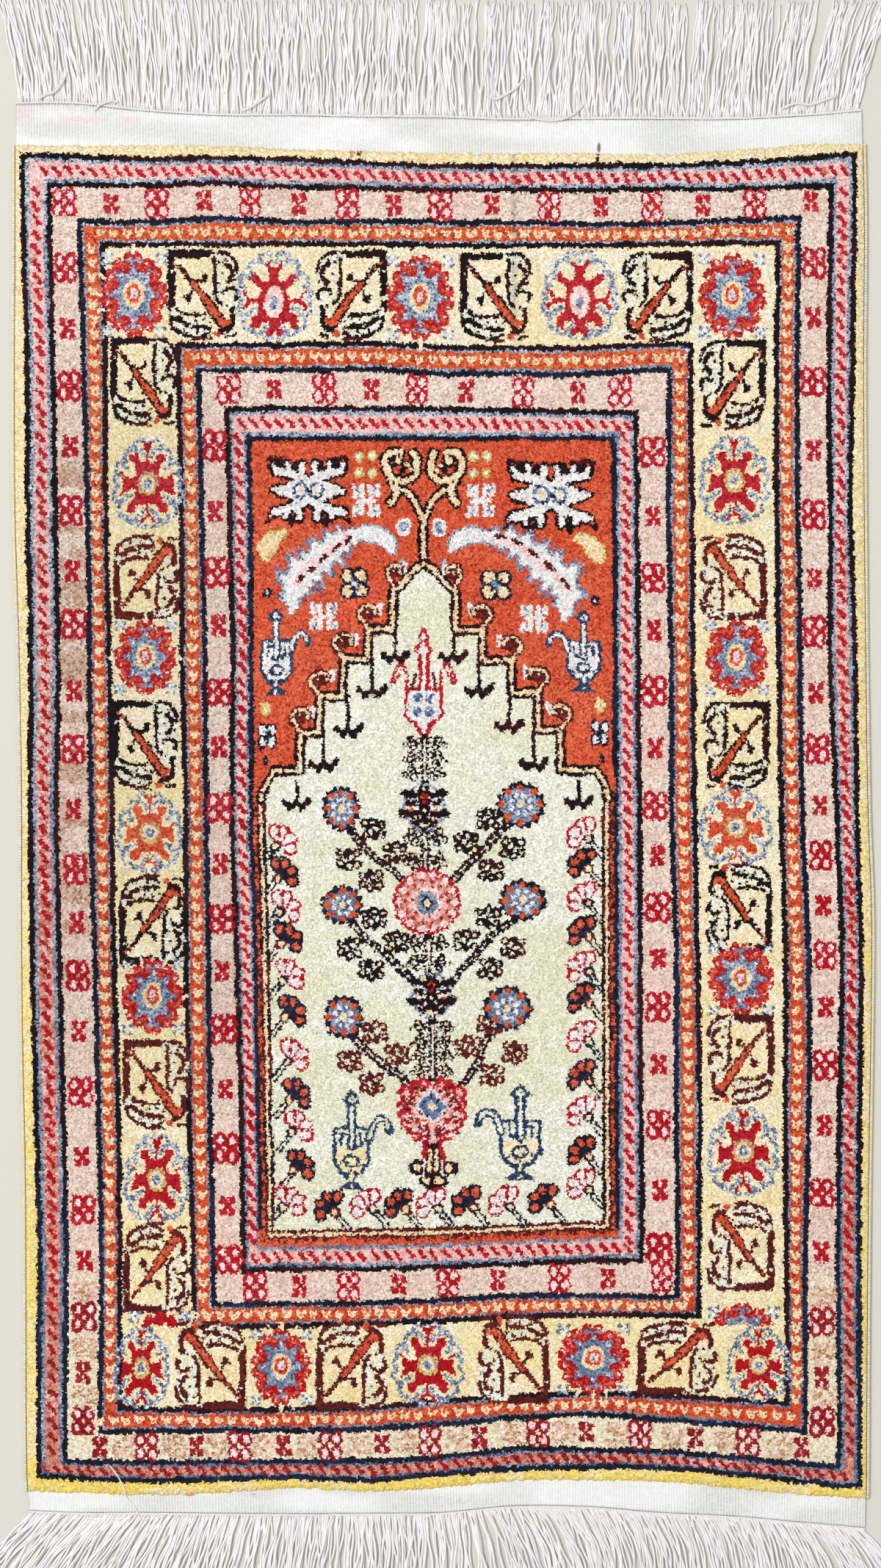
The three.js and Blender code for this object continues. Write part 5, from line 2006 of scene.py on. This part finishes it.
class YarnColours(bpy.types.PropertyGroup):
    """One colour for each yarn of the pile, and for each plain yarn round it."""

    __annotations__ = {
        as_property(name): FloatVectorProperty(
            name=name,
            description=f"Colour of the yarn: {name.lower()}",
            default=tone,
            min=0,
            max=1,
            subtype="COLOR_GAMMA",
        )
        for name, tone in {**{tone[0]: tone[1] for tone in YARN_TONES.values()}, **PLAIN_YARNS}.items()
    }


class StageSettings(bpy.types.PropertyGroup):
    camera_height: FloatProperty(
        name="Camera height", description="Height of the camera over the floor", default=3.0, unit="LENGTH"
    )
    floor_size: FloatProperty(name="Floor", description="Side of the floor", default=12.0, unit="LENGTH")
    floor_colour: FloatVectorProperty(
        name="Floor colour",
        description="Colour of the floor",
        default=(0.69, 0.67, 0.60),
        subtype="COLOR",
    )
    room_light: FloatProperty(name="Room light", description="Strength of the even light", default=0.6)
    key_light: FloatProperty(name="Key light", description="Its power", default=206.0, unit="POWER")


# One operator for each group of pieces


class RUG_OT_ground(bpy.types.Operator):
    """Weave the ground cloth with its flat-woven ends"""

    bl_idname = "rug.ground"
    bl_label = "Weave ground"

    def execute(self, context):
        weave_ground(context.scene.rug_sizes, context.scene.rug_colours, finish_named("spun_warp"))
        return {"FINISHED"}


class RUG_OT_pile(bpy.types.Operator):
    """Knot the patterned silk pile"""

    bl_idname = "rug.pile"
    bl_label = "Knot pile"

    def execute(self, context):
        tones = yarn_tones(context.scene.rug_colours)
        for panel in knot_pile(context.scene.rug_sizes, tones, finish_named("silk_pile")):
            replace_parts(panel, "rug")
        return {"FINISHED"}


class RUG_OT_side_cords(bpy.types.Operator):
    """Wrap the cords down both long sides"""

    bl_idname = "rug.side_cords"
    bl_label = "Wrap side cords"

    def execute(self, context):
        finish = finish_named("wrapping_yarn")
        for where in ("left", "right"):
            wrap_side(where, context.scene.rug_sizes, context.scene.rug_colours, finish)
        return {"FINISHED"}


class RUG_OT_end_cords(bpy.types.Operator):
    """Twine the cords that lock both ends"""

    bl_idname = "rug.end_cords"
    bl_label = "Twine end cords"

    def execute(self, context):
        for where in FRINGES:
            twine_end(where, context.scene.rug_colours, finish_named("spun_warp"))
        return {"FINISHED"}


class RUG_OT_fringe(bpy.types.Operator):
    """Lay the warp fringe at both ends"""

    bl_idname = "rug.fringe"
    bl_label = "Lay fringe"

    def execute(self, context):
        for where in FRINGES:
            finish = finish_named("spun_warp")
            lay_fringe(where, context.scene.rug_sizes, context.scene.rug_colours, finish)
        return {"FINISHED"}


class RUG_OT_thread(bpy.types.Operator):
    """Drop the loose thread at the near left corner"""

    bl_idname = "rug.thread"
    bl_label = "Drop thread"

    def execute(self, context):
        drop_thread(context.scene.rug_colours, finish_named("spun_warp"))
        return {"FINISHED"}


class RUG_OT_declare(bpy.types.Operator):
    """Does nothing: no sheet or piece is declared here"""

    bl_idname = "rug.declare"
    bl_label = "Declare cloth"

    def execute(self, context):
        return {"FINISHED"}


class RUG_OT_stage(bpy.types.Operator):
    """Set the floor, the lights and the camera"""

    bl_idname = "rug.stage"
    bl_label = "Set stage"

    def execute(self, context):
        stage = context.scene.rug_stage
        lay_floor(stage)
        set_world(stage)
        hang_key_light(stage)
        set_camera(stage)
        return {"FINISHED"}


class RUG_PT_panel(bpy.types.Panel):
    """The rug's sizes and pieces"""

    bl_idname = "RUG_PT_panel"
    bl_label = "Silk prayer rug"
    bl_space_type = "VIEW_3D"
    bl_region_type = "UI"
    bl_category = "Rug"

    def draw(self, context):
        for group in (context.scene.rug_sizes, context.scene.rug_colours, context.scene.rug_stage):
            for name in group.bl_rna.properties.keys():
                if name not in ("rna_type", "name"):
                    self.layout.prop(group, name)
        for operator in PIECE_OPERATORS:
            self.layout.operator(operator.bl_idname)


PIECE_OPERATORS = (
    RUG_OT_stage,
    RUG_OT_ground,
    RUG_OT_pile,
    RUG_OT_side_cords,
    RUG_OT_end_cords,
    RUG_OT_fringe,
    RUG_OT_thread,
    RUG_OT_declare,
)
CLASSES = (RugSizes, YarnColours, StageSettings, *PIECE_OPERATORS, RUG_PT_panel)


def register():
    for made in CLASSES:
        bpy.utils.register_class(made)
    bpy.types.Scene.rug_sizes = PointerProperty(type=RugSizes)
    bpy.types.Scene.rug_colours = PointerProperty(type=YarnColours)
    bpy.types.Scene.rug_stage = PointerProperty(type=StageSettings)


def unregister():
    del bpy.types.Scene.rug_sizes
    del bpy.types.Scene.rug_colours
    del bpy.types.Scene.rug_stage
    for made in reversed(CLASSES):
        bpy.utils.unregister_class(made)


def main():
    register()
    for operator in PIECE_OPERATORS:
        group, name = operator.bl_idname.split(".")
        getattr(getattr(bpy.ops, group), name)()
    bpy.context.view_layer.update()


if __name__ == "__main__":
    main()
